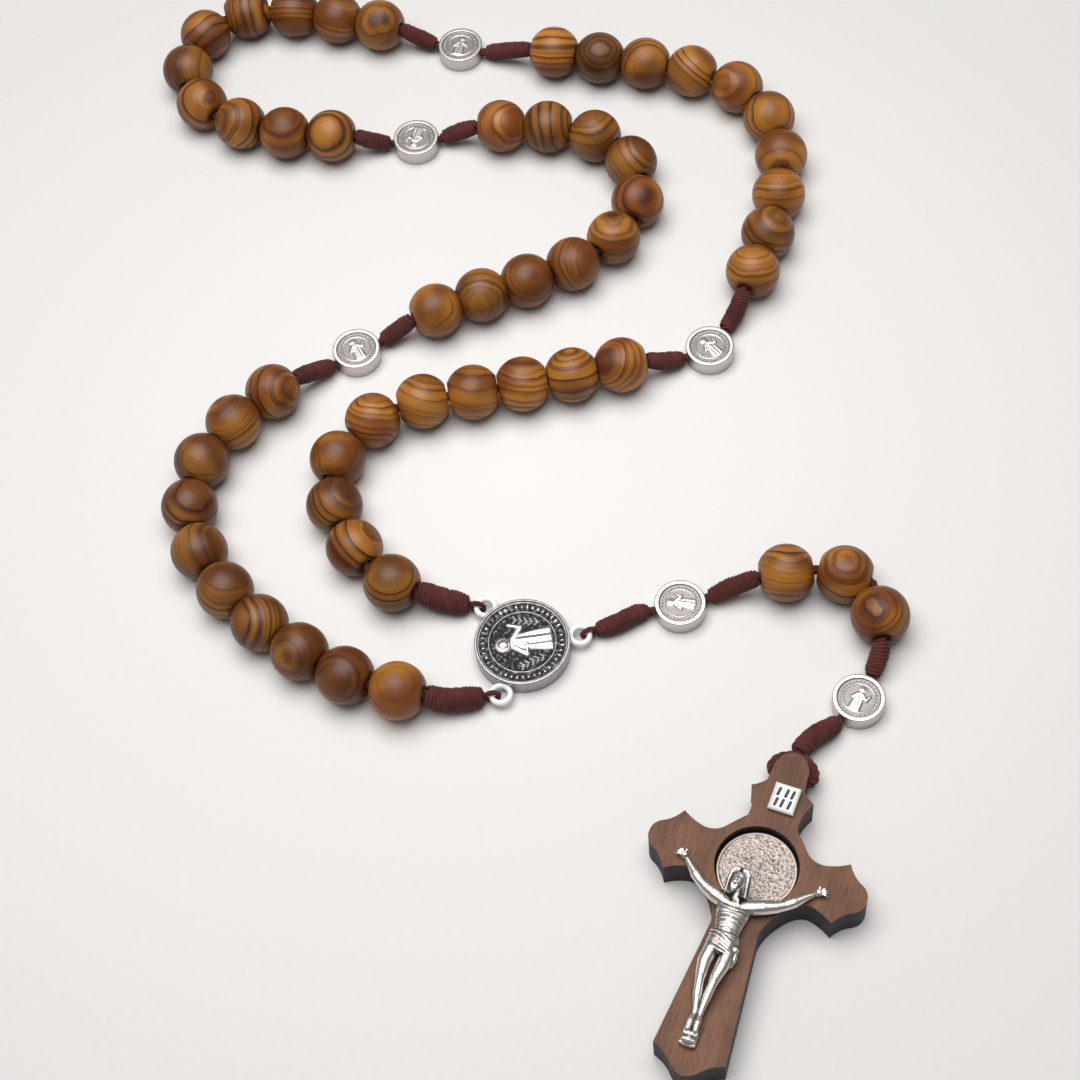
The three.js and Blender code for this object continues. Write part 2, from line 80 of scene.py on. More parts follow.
MEDAL_RADIUS = 4.4
CENTRE_AT = (-2.3, -38.5)
PENDANT_TURN = 3
LUG_REACH = 9.9
LUG_OUTER = 2.1
LUG_SPREAD = 121
CROSS_AT = (30.3, -85.3)
CROSS_TURN = math.radians(-27.4)
MEDALS_AT = [(38.0, 17.4), (-0.6, 98.3), (-11.4, 75.6), (-26.4, 26.8), (25.2, -34.8), (51.9, -56.8)]

# Each decade: cord before the first bead, room between straight neighbours, and the route.
DECADES = [
    (10.6, 0.25, [(-15.5, -28.2, 3.0), (-19.5, -26.8, 4.8), (-24.4, -24.8), (-29.6, -16.5),
                  (-32.6, -7.0), (-31.2, 2.5), (-25.0, 9.0), (-16.0, 11.8), (-6.5, 12.4),
                  (2.5, 12.8), (11.5, 13.4), (20.5, 14.2), (25.7, 14.8, 4.8), (29.0, 15.2, 3.2)]),
    (9.3, 0.35, [(44.0, 24.4, 3.2), (45.9, 27.7, 4.8), (48.4, 32.0), (52.8, 41.0), (56.2, 50.0),
                 (58.0, 59.8), (56.6, 69.6), (51.2, 77.6), (43.3, 82.3), (34.8, 85.6),
                 (26.0, 88.5), (17.0, 91.6), (13.6, 93.0, 4.8), (8.8, 95.0, 3.2)]),
    (8.6, 0.2, [(-8.8, 101.6, 3.2), (-12.0, 102.8, 4.8), (-16.2, 104.5), (-24.9, 107.9),
                (-33.5, 111.2), (-42.5, 112.6), (-50.8, 109.0), (-55.6, 99.5), (-53.2, 89.4),
                (-46.0, 83.4), (-37.4, 79.4), (-28.6, 77.1), (-23.4, 76.4, 4.8), (-20.0, 76.0, 3.2)]),
    (8.8, 0.15, [(-2.8, 75.5, 3.2), (1.1, 74.8, 4.8), (5.6, 74.0), (14.6, 72.4), (23.2, 68.9),
                 (29.4, 61.6), (29.8, 52.0), (24.6, 44.0), (16.9, 38.9), (7.8, 36.2),
                 (-1.0, 34.2), (-9.8, 32.0), (-15.3, 30.5, 4.8), (-18.2, 29.8, 3.2)]),
    (9.6, 0.15, [(-34.0, 22.8, 3.2), (-38.1, 20.4, 4.8), (-42.0, 18.2), (-49.3, 12.8),
                 (-55.2, 5.8), (-58.0, -3.0), (-57.0, -12.4), (-53.0, -21.1), (-47.7, -28.2),
                 (-41.4, -34.8), (-34.0, -40.8), (-25.7, -45.4), (-20.1, -46.8, 4.8),
                 (-16.5, -47.6, 3.0)]),
]
PENDANT_TOP = [(14.2, -36.6, 1.9), (18.0, -35.2, 1.9)]
PENDANT_BEADS = (10.4, 0.5, [(34.8, -33.0, 3.2), (39.2, -32.8, 4.8), (44.0, -32.6), (49.5, -33.0),
                             (53.4, -34.2), (57.2, -36.1), (58.2, -39.6), (58.0, -43.2),
                             (57.4, -47.8, 4.7), (56.0, -50.8, 3.2)])
PENDANT_END = [(46.6, -61.0, 2.1), (43.6, -62.6, 2.8)]
RIM_HEIGHT = 1.6
LUG_HEIGHT = 1.7
CROSS_MIDDLE = 3.25


def polar(at, degrees, reach, height):
    """The point that far from a middle, in that direction."""
    turn = math.radians(degrees)
    return Vector((at[0] + reach * math.cos(turn), at[1] + reach * math.sin(turn), height))


def lug_toward(degrees, point):
    """Where a cord that runs to point leaves the outside of a lug ring."""
    lug = polar(CENTRE_AT, degrees, LUG_REACH, LUG_HEIGHT)
    away = Vector((point[0] - lug.x, point[1] - lug.y, 0)).normalized()
    return lug + away * LUG_OUTER


def rim_toward(medal, point):
    """Where a cord that runs to point leaves a medal's rim."""
    x, y = MEDALS_AT[medal]
    degrees = math.degrees(math.atan2(point[1] - y, point[0] - x))
    return polar((x, y), degrees, MEDAL_RADIUS, RIM_HEIGHT)


class Run:
    """A run of cord, a smooth curve through its points in millimetres, measured along it."""

    PARTS = 24

    def __init__(self, start, points, end):
        middle = [Vector((p[0], p[1], p[2] if len(p) > 2 else BEAD_RADIUS)) for p in points]
        knots = [start, *middle, end]
        knots = [2 * knots[0] - knots[1], *knots, 2 * knots[-1] - knots[-2]]
        self.spots = [knots[1].copy()]
        for a, b, c, d in zip(knots, knots[1:], knots[2:], knots[3:]):
            for part in range(1, self.PARTS + 1):
                self.spots.append(self.between(a, b, c, d, part / self.PARTS))
        self.marks = [0.0]
        for one, two in zip(self.spots, self.spots[1:]):
            self.marks.append(self.marks[-1] + (two - one).length)
        self.length = self.marks[-1]

    @staticmethod
    def between(a, b, c, d, t):
        """A point from b to c on the centripetal curve through a, b, c and d."""
        ab, bc, cd = math.sqrt((b - a).length), math.sqrt((c - b).length), math.sqrt((d - c).length)
        leave = ((b - a) / ab - (c - a) / (ab + bc) + (c - b) / bc) * bc
        arrive = ((c - b) / bc - (d - b) / (bc + cd) + (d - c) / cd) * bc
        tt, ttt = t * t, t * t * t
        return (b * (2 * ttt - 3 * tt + 1) + leave * (ttt - 2 * tt + t)
                + c * (3 * tt - 2 * ttt) + arrive * (ttt - tt))

    def at(self, distance):
        """The point at that distance; past an end it runs straight on."""
        if distance <= 0:
            return self.spots[0] + self.heading(0) * distance
        if distance >= self.length:
            return self.spots[-1] + self.heading(self.length) * (distance - self.length)
        low, high = 0, len(self.marks) - 1
        while high - low > 1:
            middle = (low + high) // 2
            if self.marks[middle] <= distance:
                low = middle
            else:
                high = middle
        share = (distance - self.marks[low]) / (self.marks[high] - self.marks[low])
        return self.spots[low].lerp(self.spots[high], share)

    def heading(self, distance):
        """The direction of the cord at that distance."""
        before, after = self.spots[0], self.spots[-1]
        if distance > 0:
            before = self.at(max(0.001, distance - 0.05))
        if distance < self.length:
            after = self.at(min(self.length - 0.001, distance + 0.05))
        return (after - before).normalized()

    def stretch(self, start, end, step):
        """Points evenly spaced from start to end, about a step apart."""
        count = max(2, math.ceil((end - start) / step))
        return [self.at(start + (end - start) * i / count) for i in range(count + 1)]


def cross_point(v, z):
    """A point on the crucifix's middle line, v up from where its arms cross."""
    return Vector((CROSS_AT[0] - v * math.sin(CROSS_TURN), CROSS_AT[1] + v * math.cos(CROSS_TURN), z))


decade_runs = []
for index, (lead, slack, points) in enumerate(DECADES):
    start = (lug_toward(PENDANT_TURN + LUG_SPREAD, points[0]) if index == 0
             else rim_toward(index - 1, points[0]))
    end = (lug_toward(PENDANT_TURN - LUG_SPREAD, points[-1]) if index == 4
           else rim_toward(index, points[-1]))
    decade_runs.append(Run(start, points, end))
top_run = Run(lug_toward(PENDANT_TURN, PENDANT_TOP[0]), PENDANT_TOP, rim_toward(4, PENDANT_TOP[-1]))
beads_run = Run(rim_toward(4, PENDANT_BEADS[2][0]), PENDANT_BEADS[2],
                rim_toward(5, PENDANT_BEADS[2][-1]))
end_run = Run(rim_toward(5, PENDANT_END[0]), PENDANT_END, cross_point(23.3, CROSS_MIDDLE))


def bead_places(run, lead, slack, count):
    """How far along the cord each bead's middle lies: a bend pushes neighbours apart."""
    places = [lead + BEAD_LENGTH / 2]
    while len(places) < count:
        here = places[-1]
        bend = run.heading(here).angle(run.heading(here + BEAD_LENGTH + slack))
        chord = BEAD_LENGTH * math.cos(bend / 2) + 2 * BEND_RADIUS * math.sin(bend / 2) + slack
        stretch = (bend / 2) / math.sin(bend / 2) if bend > 0.01 else 1
        places.append(here + chord * stretch)
    return places


decade_places = [bead_places(run, lead, slack, 10)
                 for run, (lead, slack, _) in zip(decade_runs, DECADES)]
pendant_places = bead_places(beads_run, PENDANT_BEADS[0], PENDANT_BEADS[1], 3)


class Wire:
    """A socket in a node tree, so that sums of sockets read as plain sums."""

    def __init__(self, tree, socket):
        self.tree = tree
        self.socket = socket

    def combine(self, operation, *sockets):
        return self.tree.node("ShaderNodeMath", {"operation": operation}, dict(enumerate(sockets)))

    def __add__(self, other):
        return self.combine("ADD", self, other)

    def __sub__(self, other):
        return self.combine("SUBTRACT", self, other)

    def __mul__(self, other):
        return self.combine("MULTIPLY", self, other)

    def __truediv__(self, other):
        return self.combine("DIVIDE", self, other)

    def __pow__(self, other):
        return self.combine("POWER", self, other)

    def __radd__(self, other):
        return self.combine("ADD", other, self)

    def __rsub__(self, other):
        return self.combine("SUBTRACT", other, self)

    def __rmul__(self, other):
        return self.combine("MULTIPLY", other, self)

    def apply(self, operation, *others):
        return self.combine(operation, self, *others)

    def step(self, low, high):
        """0 below low, 1 above high, smooth between."""
        return self.tree.node("ShaderNodeMapRange", {"interpolation_type": "SMOOTHSTEP"},
                              {0: self, 1: low, 2: high, 3: 0.0, 4: 1.0})


class Tree:
    """A node tree being filled."""

    def __init__(self, tree):
        self.tree = tree

    def node(self, kind, settings=None, sockets=None, output=0):
        """Adds a node, sets it up, fills or wires its sockets, and gives one of its outputs."""
        made = self.tree.nodes.new(kind)
        for setting, value in (settings or {}).items():
            setattr(made, setting, value)
        for socket, value in (sockets or {}).items():
            if isinstance(value, Wire):
                self.tree.links.new(value.socket, made.inputs[socket])
            else:
                made.inputs[socket].default_value = value
        return Wire(self, made.outputs[output])

    def vector(self, x, y=0.0, z=0.0):
        return self.node("ShaderNodeCombineXYZ", {}, {0: x, 1: y, 2: z})

    def grown(self, vector, factor):
        """A vector or a colour, times a number."""
        return self.node("ShaderNodeVectorMath", {"operation": "SCALE"}, {0: vector, "Scale": factor})

    def stored(self, geometry, name, value):
        """Keeps a number at each point, for a finish to measure."""
        return self.node("GeometryNodeStoreNamedAttribute", {"data_type": "FLOAT", "domain": "POINT"},
                         {"Geometry": geometry, "Name": name, "Value": value})

    def join(self, *parts):
        """Several geometries as one; the last one given comes first."""
        joined = self.tree.nodes.new("GeometryNodeJoinGeometry")
        for part in parts:
            self.tree.links.new(part.socket, joined.inputs[0])
        return Wire(self, joined.outputs[0])


def paint(red, green, blue):
    """A colour as a paint chart gives it, 0 to 255, made linear."""
    return tuple((c / 255 / 12.92) if c <= 10 else ((c / 255 + 0.055) / 1.055) ** 2.4
                 for c in (red, green, blue)) + (1.0,)


class Finish(Tree):
    """One surface finish, built round a single surface shader."""

    def __init__(self, name, **fixed):
        self.material = bpy.data.materials.new(name)
        self.material.use_nodes = True
        super().__init__(self.material.node_tree)
        self.surface = self.tree.nodes["Principled BSDF"]
        for socket, value in fixed.items():
            self.surface.inputs[socket.replace("_", " ")].default_value = value

    def feed(self, socket, wire):
        self.tree.links.new(wire.socket, self.surface.inputs[socket])

    def place(self):
        """Where on the piece, in metres."""
        return self.node("ShaderNodeTexCoord", output="Object")

    def scaled(self, vector, factors, shift=(0, 0, 0)):
        return self.node("ShaderNodeMapping", {}, {"Vector": vector, "Scale": factors, "Location": shift})

    def noise(self, vector, scale, detail=2.0, roughness=0.5):
        return self.node("ShaderNodeTexNoise", {},
                         {"Vector": vector, "Scale": scale, "Detail": detail, "Roughness": roughness})

    def mix(self, factor, one, two):
        return self.node("ShaderNodeMix", {"data_type": "RGBA"}, {0: factor, 6: one, 7: two}, 2)

    def measure(self, name, output="Fac"):
        """A number or vector that the mesh carries at each point."""
        return self.node("ShaderNodeAttribute", {"attribute_name": name}, output=output)

    def bump(self, height, strength, distance):
        self.feed("Normal", self.node("ShaderNodeBump", {},
                                      {"Strength": strength, "Distance": distance, "Height": height}))


def cord_finish():
    """Dull maroon filament in two dye shades, with fine darker lines along each ply."""
    finish = Finish("cord_maroon", Roughness=0.8, Sheen_Weight=0.08, Sheen_Roughness=0.5,
                    Specular_IOR_Level=0.25)
    along = finish.measure("run") * 400.0
    across = finish.measure("round") * 22.0
    fibres = finish.noise(finish.vector(along, across), 1.0, 3.0, 0.7)
    blotch = finish.noise(finish.place(), 260.0, 2.0)
    base = finish.mix(blotch.step(0.35, 0.65), paint(78, 30, 28), paint(98, 42, 36))
    finish.feed("Base Color", finish.mix(fibres.step(0.35, 0.7), base, paint(46, 17, 17)))
    finish.bump(fibres, 0.6, 0.00008)
    return finish.material


cord_maroon = cord_finish()


def recipe(name, sizes):
    """An empty geometry tree with named inputs; gives the tree and its wired inputs."""
    group = bpy.data.node_groups.new(name, "GeometryNodeTree")
    group.interface.new_socket("Geometry", in_out="OUTPUT", socket_type="NodeSocketGeometry")
    group.interface.new_socket("Geometry", in_out="INPUT", socket_type="NodeSocketGeometry")
    for label, kind in sizes.items():
        group.interface.new_socket(label, in_out="INPUT", socket_type="NodeSocket" + kind)
    tree = Tree(group)
    source = group.nodes.new("NodeGroupInput")
    return tree, {s.name: Wire(tree, s) for s in source.outputs if s.name}


def hand_out(tree, geometry, material):
    """Ends a geometry tree: instances made real, then the finish."""
    real = tree.node("GeometryNodeRealizeInstances", {}, {0: geometry})
    dressed = tree.node("GeometryNodeSetMaterial", {}, {"Geometry": real, "Material": material})
    sink = tree.tree.nodes.new("NodeGroupOutput")
    tree.tree.links.new(dressed.socket, sink.inputs[0])


def follow(name, tree, mesh, sizes):
    """Runs a geometry tree on a mesh and gives the result as a plain piece."""
    carrier = bpy.data.objects.new(name + "_path", mesh)
    bpy.context.scene.collection.objects.link(carrier)
    modifier = carrier.modifiers.new("shape", "NODES")
    modifier.node_group = tree.tree
    for item in tree.tree.interface.items_tree:
        if item.in_out == "INPUT" and item.name in sizes:
            modifier[item.identifier] = sizes[item.name]
    bpy.context.view_layer.update()
    graph = bpy.context.evaluated_depsgraph_get()
    made = bpy.data.meshes.new_from_object(carrier.evaluated_get(graph))
    carrier.modifiers.remove(modifier)
    bpy.data.objects.remove(carrier)
    return put(name, made)


def put(name, mesh):
    """Makes a mesh a piece."""
    mesh.name = name
    piece = bpy.data.objects.new(name, mesh)
    bpy.context.scene.collection.objects.link(piece)
    return piece


def line_mesh(name, spots):
    """A line through spots, for a cord to follow."""
    mesh = bpy.data.meshes.new(name)
    mesh.from_pydata([p * MM for p in spots], [(i, i + 1) for i in range(len(spots) - 1)], [])
    return mesh


def wound(tree, path, strands, pitch, coil, thread, taper, sides=7, turn_points=14):
    """Threads wound round a path: `strands` of them, a full turn every `pitch`."""
    fine = tree.node("GeometryNodeResampleCurve", {"mode": "LENGTH"},
                     {"Curve": path, "Length": pitch / turn_points})
    copies = tree.tree.nodes.new("GeometryNodeDuplicateElements")
    copies.domain = "SPLINE"
    tree.tree.links.new(fine.socket, copies.inputs["Geometry"])
    copies.inputs["Amount"].default_value = strands
    number = Wire(tree, copies.outputs["Duplicate Index"])
    run = tree.node("GeometryNodeSplineParameter", output="Length")
    share = tree.node("GeometryNodeSplineParameter", output="Factor")
    angle = run / pitch * math.tau + number * (math.tau / strands)
    ease = (share * (1 - share) * 4.0).apply("MAXIMUM", 0.0) ** taper
    normal = tree.node("GeometryNodeInputNormal")
    tangent = tree.node("GeometryNodeInputTangent")
    side = tree.node("ShaderNodeVectorMath", {"operation": "CROSS_PRODUCT"}, {0: tangent, 1: normal})
    uneven = tree.node("ShaderNodeTexNoise", {}, {"Scale": 1100.0, "Detail": 1.0})
    reach = coil * ease * (0.88 + uneven * 0.24)
    offset = tree.node("ShaderNodeVectorMath", {"operation": "ADD"},
                       {0: tree.grown(normal, angle.apply("COSINE") * reach),
                        1: tree.grown(side, angle.apply("SINE") * reach)})
    helix = tree.node("GeometryNodeSetPosition", {},
                      {"Geometry": Wire(tree, copies.outputs["Geometry"]), "Offset": offset})
    circle = tree.node("GeometryNodeCurvePrimitiveCircle", {}, {"Resolution": sides, "Radius": thread})
    return tree.node("GeometryNodeCurveToMesh", {}, {
        "Curve": tree.stored(helix, "run", tree.node("GeometryNodeSplineParameter", output="Length")),
        "Profile Curve": tree.stored(circle, "round",
                                     tree.node("GeometryNodeSplineParameter", output="Factor")),
        "Fill Caps": True})


def knotted_cord_recipe():
    """The twisted cord along a line, and up to two wound knots on stretches of it."""
    tree, sizes = recipe("knotted_cord", {
        "Ply Pitch": "Float", "Ply Reach": "Float", "Ply Radius": "Float",
        "Wrap Pitch": "Float", "Wrap Radius": "Float",
        "First From": "Float", "First To": "Float", "First Reach": "Float",
        "Last From": "Float", "Last To": "Float", "Last Reach": "Float",
        "Cord": "Material",
    })
    path = tree.node("GeometryNodeMeshToCurve", {}, {"Mesh": sizes["Geometry"]})
    path = tree.node("GeometryNodeSetCurveNormal", {"mode": "MINIMUM_TWIST"}, {"Curve": path})
    parts = [wound(tree, path, 3, sizes["Ply Pitch"], sizes["Ply Reach"], sizes["Ply Radius"], 0.0, 6, 12)]
    for one in ("First", "Last"):
        cut = tree.node("GeometryNodeTrimCurve", {"mode": "LENGTH"},
                        {"Curve": path, 4: sizes[one + " From"], 5: sizes[one + " To"]})
        knot = wound(tree, cut, 3, sizes["Wrap Pitch"], sizes[one + " Reach"], sizes["Wrap Radius"], 0.14)
        tied = sizes[one + " To"].apply("GREATER_THAN", sizes[one + " From"])
        parts.append(tree.node("GeometryNodeSwitch", {"input_type": "GEOMETRY"}, {0: tied, 2: knot}))
    hand_out(tree, tree.join(*parts), sizes["Cord"])
    return tree


knotted_cord = knotted_cord_recipe()


def smooth(mesh):
    """Shades every face as part of a rounded surface."""
    for polygon in mesh.polygons:
        polygon.use_smooth = True


def outward(piece):
    """Closes seams and turns every face outwards."""
    work = bmesh.new()
    work.from_mesh(piece.data)
    bmesh.ops.remove_doubles(work, verts=work.verts, dist=1e-7)
    bmesh.ops.recalc_face_normals(work, faces=work.faces)
    work.to_mesh(piece.data)
    work.free()
    return piece


WHOLE_CORD = (3.4, 0.44, 0.46)   # pitch of the twist, how far out each ply lies, a ply's radius
WRAP_PITCH = 1.65
WRAP_RADIUS = 0.33


def tie_cord(name, spots, knots, twist=WHOLE_CORD):
    """A run of twisted cord along spots, with wound knots: where each starts, ends and how wide."""
    knots = [[size * MM for size in knot] for knot in knots] + [[0.0, 0.0, 0.0]] * 2
    pitch, reach, radius = twist
    piece = follow(name, knotted_cord, line_mesh(name, spots), {
        "Ply Pitch": pitch * MM, "Ply Reach": reach * MM, "Ply Radius": radius * MM,
        "Wrap Pitch": WRAP_PITCH * MM, "Wrap Radius": WRAP_RADIUS * MM,
        "First From": knots[0][0], "First To": knots[0][1], "First Reach": knots[0][2],
        "Last From": knots[1][0], "Last To": knots[1][1], "Last Reach": knots[1][2],
        "Cord": cord_maroon,
    })
    smooth(piece.data)
    return piece


def declare_cord(spots):
    """Adds up the cord's length along spots and scales them to metres, but keeps neither."""
    length = sum((b - a).length for a, b in zip(spots, spots[1:]))
    spots[0] * MM
    [p * MM for p in spots]


KNOT_REACH = 1.42                # how far out the wraps of a knot lie
WIDE_KNOT = 1.9                  # the same beside the centrepiece
CROSS_KNOT = 1.55                # and beside the crucifix


def lay_cord(name, run, body, node, first, last, past, reach=(KNOT_REACH, KNOT_REACH), declared=True):
    """A run of cord on its body, going past its ends, with knots up to first and after last."""
    starts, ends = -past[0], run.length + past[1]
    spots = run.stretch(starts, ends, 0.6)
    knots = []
    if first is not None:
        knots.append((STUB - starts, first - KNOT_TO_BEAD - starts, reach[0]))
    if last is not None:
        knots.append((last + KNOT_TO_BEAD - starts, run.length - STUB - starts, reach[1]))
    piece = tie_cord(name, spots, knots)
    if declared:
        declare_cord(run.stretch(starts, ends, 3.0))
    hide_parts(node)
    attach(piece, body)
    return piece


for number, (run, places) in enumerate(zip(decade_runs, decade_places), 1):
    lay_cord(f"decade_{number}_cord", run, f"strand_{number}", f"cord_decade_{number}",
             places[0] - BEAD_LENGTH / 2, places[-1] + BEAD_LENGTH / 2,
             (-RIM_GAP if number == 1 else INTO_RIM, -RIM_GAP if number == 5 else INTO_RIM),
             (WIDE_KNOT if number == 1 else KNOT_REACH, WIDE_KNOT if number == 5 else KNOT_REACH))
lay_cord("pendant_cord_with_beads", beads_run, "pendant_beads", "cord_pendant_beads",
         pendant_places[0] - BEAD_LENGTH / 2, pendant_places[-1] + BEAD_LENGTH / 2, (INTO_RIM, INTO_RIM))
lay_cord("pendant_cord_top", top_run, "pendant_top", "cord_pendant_top",
         top_run.length - STUB, None, (-RIM_GAP, INTO_RIM), declared=False)
lay_cord("pendant_cord_end", end_run, "pendant_end", "cord_pendant_end",
         end_run.length + 1.3, None, (INTO_RIM, 1.0), (CROSS_KNOT, 0), declared=False)


# ---------- the beads ----------
# Turned from striped honey-brown wood, near round, drilled and flattened at the hole, waxed
# to a satin. Each was cut from its own spot in the log, so its growth rings lie its own way.
BEAD_FACE = 2.35
BEAD_HOLE = 1.0
BEAD_SEGMENTS = 40
RING_SPACING = 1.6               # between growth rings
LOG_NEAR, LOG_FAR = 9.0, 31.0    # how far from the log's heart the beads were cut
LOG_LENGTH = 800.0


def bead_outline():
    """Half section of a bead, as (radius, height along the hole), once round."""
    half = BEAD_LENGTH / 2 + 0.06
    outline = [(BEAD_HOLE, -half + 0.45), (BEAD_HOLE + 0.28, -half + 0.06), (BEAD_FACE - 0.55, -half)]
    steps = 22
    widest = math.asin(half / BEAD_RADIUS)
    for i in range(steps + 1):
        angle = -widest + 2 * widest * i / steps
        outline.append((BEAD_RADIUS * math.cos(angle) ** 0.96, BEAD_RADIUS * math.sin(angle)))
    outline += [(BEAD_FACE - 0.55, half), (BEAD_HOLE + 0.28, half - 0.06), (BEAD_HOLE, half - 0.45)]
    return outline


def bead_mesh(name, placed, log, tone):
    """A bead's mesh in place; log carries a point of the bead to where it was in the log."""
    outline = bead_outline()
    rows = len(outline)
    verts, grain = [], []
    for segment in range(BEAD_SEGMENTS):
        turn = math.tau * segment / BEAD_SEGMENTS
        for radius, height in outline:
            local = Vector((radius * math.cos(turn), radius * math.sin(turn), height))
            world = placed @ local
            verts.append(world * MM)
            grain.append(log @ (world - placed.translation))
    faces = []
    for segment in range(BEAD_SEGMENTS):
        after = (segment + 1) % BEAD_SEGMENTS
        for row in range(rows):
            up = (row + 1) % rows
            faces.append((segment * rows + row, after * rows + row, after * rows + up, segment * rows + up))
    mesh = bpy.data.meshes.new(name)
    mesh.from_pydata(verts, [], faces)
    carried = mesh.attributes.new("grain", "FLOAT_VECTOR", "POINT")
    carried.data.foreach_set("vector", [c for g in grain for c in g])
    mesh.attributes.new("tone", "FLOAT", "POINT").data.foreach_set("value", [tone] * len(verts))
    smooth(mesh)
    return mesh


def bead_finish():
    """Growth rings round the log's heart: broad honey early wood, thin dark late wood."""
    finish = Finish("bead_wood", Coat_Roughness=0.34, Coat_Weight=0.22, Specular_IOR_Level=0.25)
    log = finish.measure("grain", "Vector")
    across = finish.node("ShaderNodeSeparateXYZ", {}, {0: log}, 0)
    aside = finish.node("ShaderNodeSeparateXYZ", {}, {0: log}, 1)
    wander = finish.noise(finish.scaled(log, (0.15, 0.15, 0.05)), 1.0, 1.0)
    ripple = finish.noise(finish.scaled(log, (0.7, 0.7, 0.16)), 1.0, 1.0)
    radius = (across * across + aside * aside) ** 0.5 + wander * 2.6 + ripple * 0.35
    fibres = finish.noise(finish.scaled(log, (7.0, 7.0, 0.7)), 1.0, 4.0, 0.65)
    band = finish.vector(radius * 0.3)
    width = finish.noise(band, 1.0, 2.0)
    phase = radius / RING_SPACING + width * 4.2
    ring = phase.apply("FRACT")
    late = ring.step(0.3, 0.86) * (1 - ring.step(0.9, 1.0))
    thin = (phase * 2.7 + fibres * 0.25).apply("FRACT")
    late = late + (thin.step(0.55, 0.85) * (1 - thin.step(0.88, 1.0))) * 0.3
    strong = finish.noise(finish.scaled(band, (2.3, 1, 1), (7.3, 0, 0)), 1.0, 1.0).step(0.36, 0.62)
    broad = finish.noise(finish.scaled(log, (0.16, 0.16, 0.05), (3.1, 5.7, 1.3)), 1.0, 1.0)
    pores = finish.noise(finish.scaled(log, (16.0, 16.0, 1.1)), 1.0, 1.0).step(0.62, 0.72)
    honey = finish.mix(broad.step(0.35, 0.65), paint(120, 65, 18), paint(182, 119, 42))
    honey = finish.mix(fibres.step(0.3, 0.75) * 0.35, honey, paint(106, 58, 18))
    dark = finish.mix(fibres.step(0.3, 0.7), paint(84, 38, 15), paint(54, 22, 10))
    wood = finish.mix(late * (0.25 + 0.7 * strong), honey, dark)
    wood = finish.mix(pores * 0.3, wood, paint(70, 36, 20))
    finish.feed("Base Color", finish.grown(wood, finish.measure("tone")))
    finish.feed("Roughness", 0.38 + fibres * 0.14 + late * 0.05)
    finish.bump(fibres * 0.5 - late * 0.5 - pores, 0.3, 0.00005)
    return finish.material


bead_wood = bead_finish()
log_spots = random.Random(11)


def grain_of(tilt, turn):
    """The log's directions for a bead: tilt is how far the rings' face is turned from the camera,
    turn the way that it leans, from the right round to the top."""
    tilt, turn = math.radians(tilt), math.radians(turn)
    aside = view_right * math.cos(turn) + view_up * math.sin(turn)
    rings = (aside * math.sin(tilt) - ahead * math.cos(tilt)).normalized()
    return rings, rings.cross(ahead).normalized()


# Each bead's tilt and turn, decade by decade; near 0 tilt a round eye shows, near 90 stripes.
GRAIN = [
    [(30, 95), (72, 45), (60, 45), (14, 80), (80, 80), (82, 75), (78, 85), (74, 88), (62, 95), (42, 170)],
    [(62, 90), (46, 60), (86, 92), (52, 268), (14, 90), (40, 180), (76, 45), (24, 272), (16, 90), (84, 88)],
    [(10, 180), (70, 80), (82, 92), (80, 5), (84, 130), (76, 2), (20, 10), (50, 180), (32, 90), (18, 180)],
    [(30, 3), (75, 5), (60, 110), (72, 40), (15, 20), (40, 90), (56, 4), (16, 45), (46, 270), (12, 180)],
    [(56, 2), (76, 120), (30, 30), (46, 60), (80, 20), (52, 80), (60, 180), (35, 200), (24, 200), (18, 90)],
]
PENDANT_GRAIN = [(82, 90), (30, 92), (36, 135)]
# How much light the wood gives back: most beads are alike, some lie nearer the dark heartwood.
PLAIN_TONE, DARK_TONE, PALE_TONE, HEARTWOOD_TONE = 0.8, 0.58, 1.03, 0.36
DARK_BEADS = {1: (1, 3), 2: (2,), 3: (6,), 4: (2, 3, 4, 9), 5: (3, 4, 5, 6, 7, 8, 9)}
PALE_BEADS = {1: (5, 8, 10), 2: (6, 10), 4: (1, 5), 5: (10,)}
HEARTWOOD_BEAD = (2, 9)


def tone_of(decade, bead):
    if (decade, bead) == HEARTWOOD_BEAD:
        return HEARTWOOD_TONE
    if bead in DARK_BEADS.get(decade, ()):
        return DARK_TONE
    return PALE_TONE if bead in PALE_BEADS.get(decade, ()) else PLAIN_TONE


def make_bead(name, run, place, body, node, tilt, turn, tone):
    """Threads one bead on a run of cord, its hole along the chord that it spans."""
    before, after = run.at(place - BEAD_LENGTH / 2), run.at(place + BEAD_LENGTH / 2)
    middle = (before + after) / 4 + run.at(place) / 2
    middle.z = BEAD_RADIUS
    hole = Vector((after.x - before.x, after.y - before.y, 0)).normalized()
    placed = Matrix.Translation(middle) @ hole.to_track_quat("Z", "Y").to_matrix().to_4x4()
    rings, fibre = grain_of(tilt, turn)
    log = Matrix((rings, fibre.cross(rings), fibre)).to_4x4()
    log.translation = Vector((LOG_NEAR + log_spots.uniform(0, LOG_FAR - LOG_NEAR), 0,
                              log_spots.uniform(-LOG_LENGTH / 2, LOG_LENGTH / 2)))
    piece = put(name, bead_mesh(name, placed, log, tone))
    piece.data.materials.append(bead_wood)
    outward(piece)
    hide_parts(node)
    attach(piece, body)


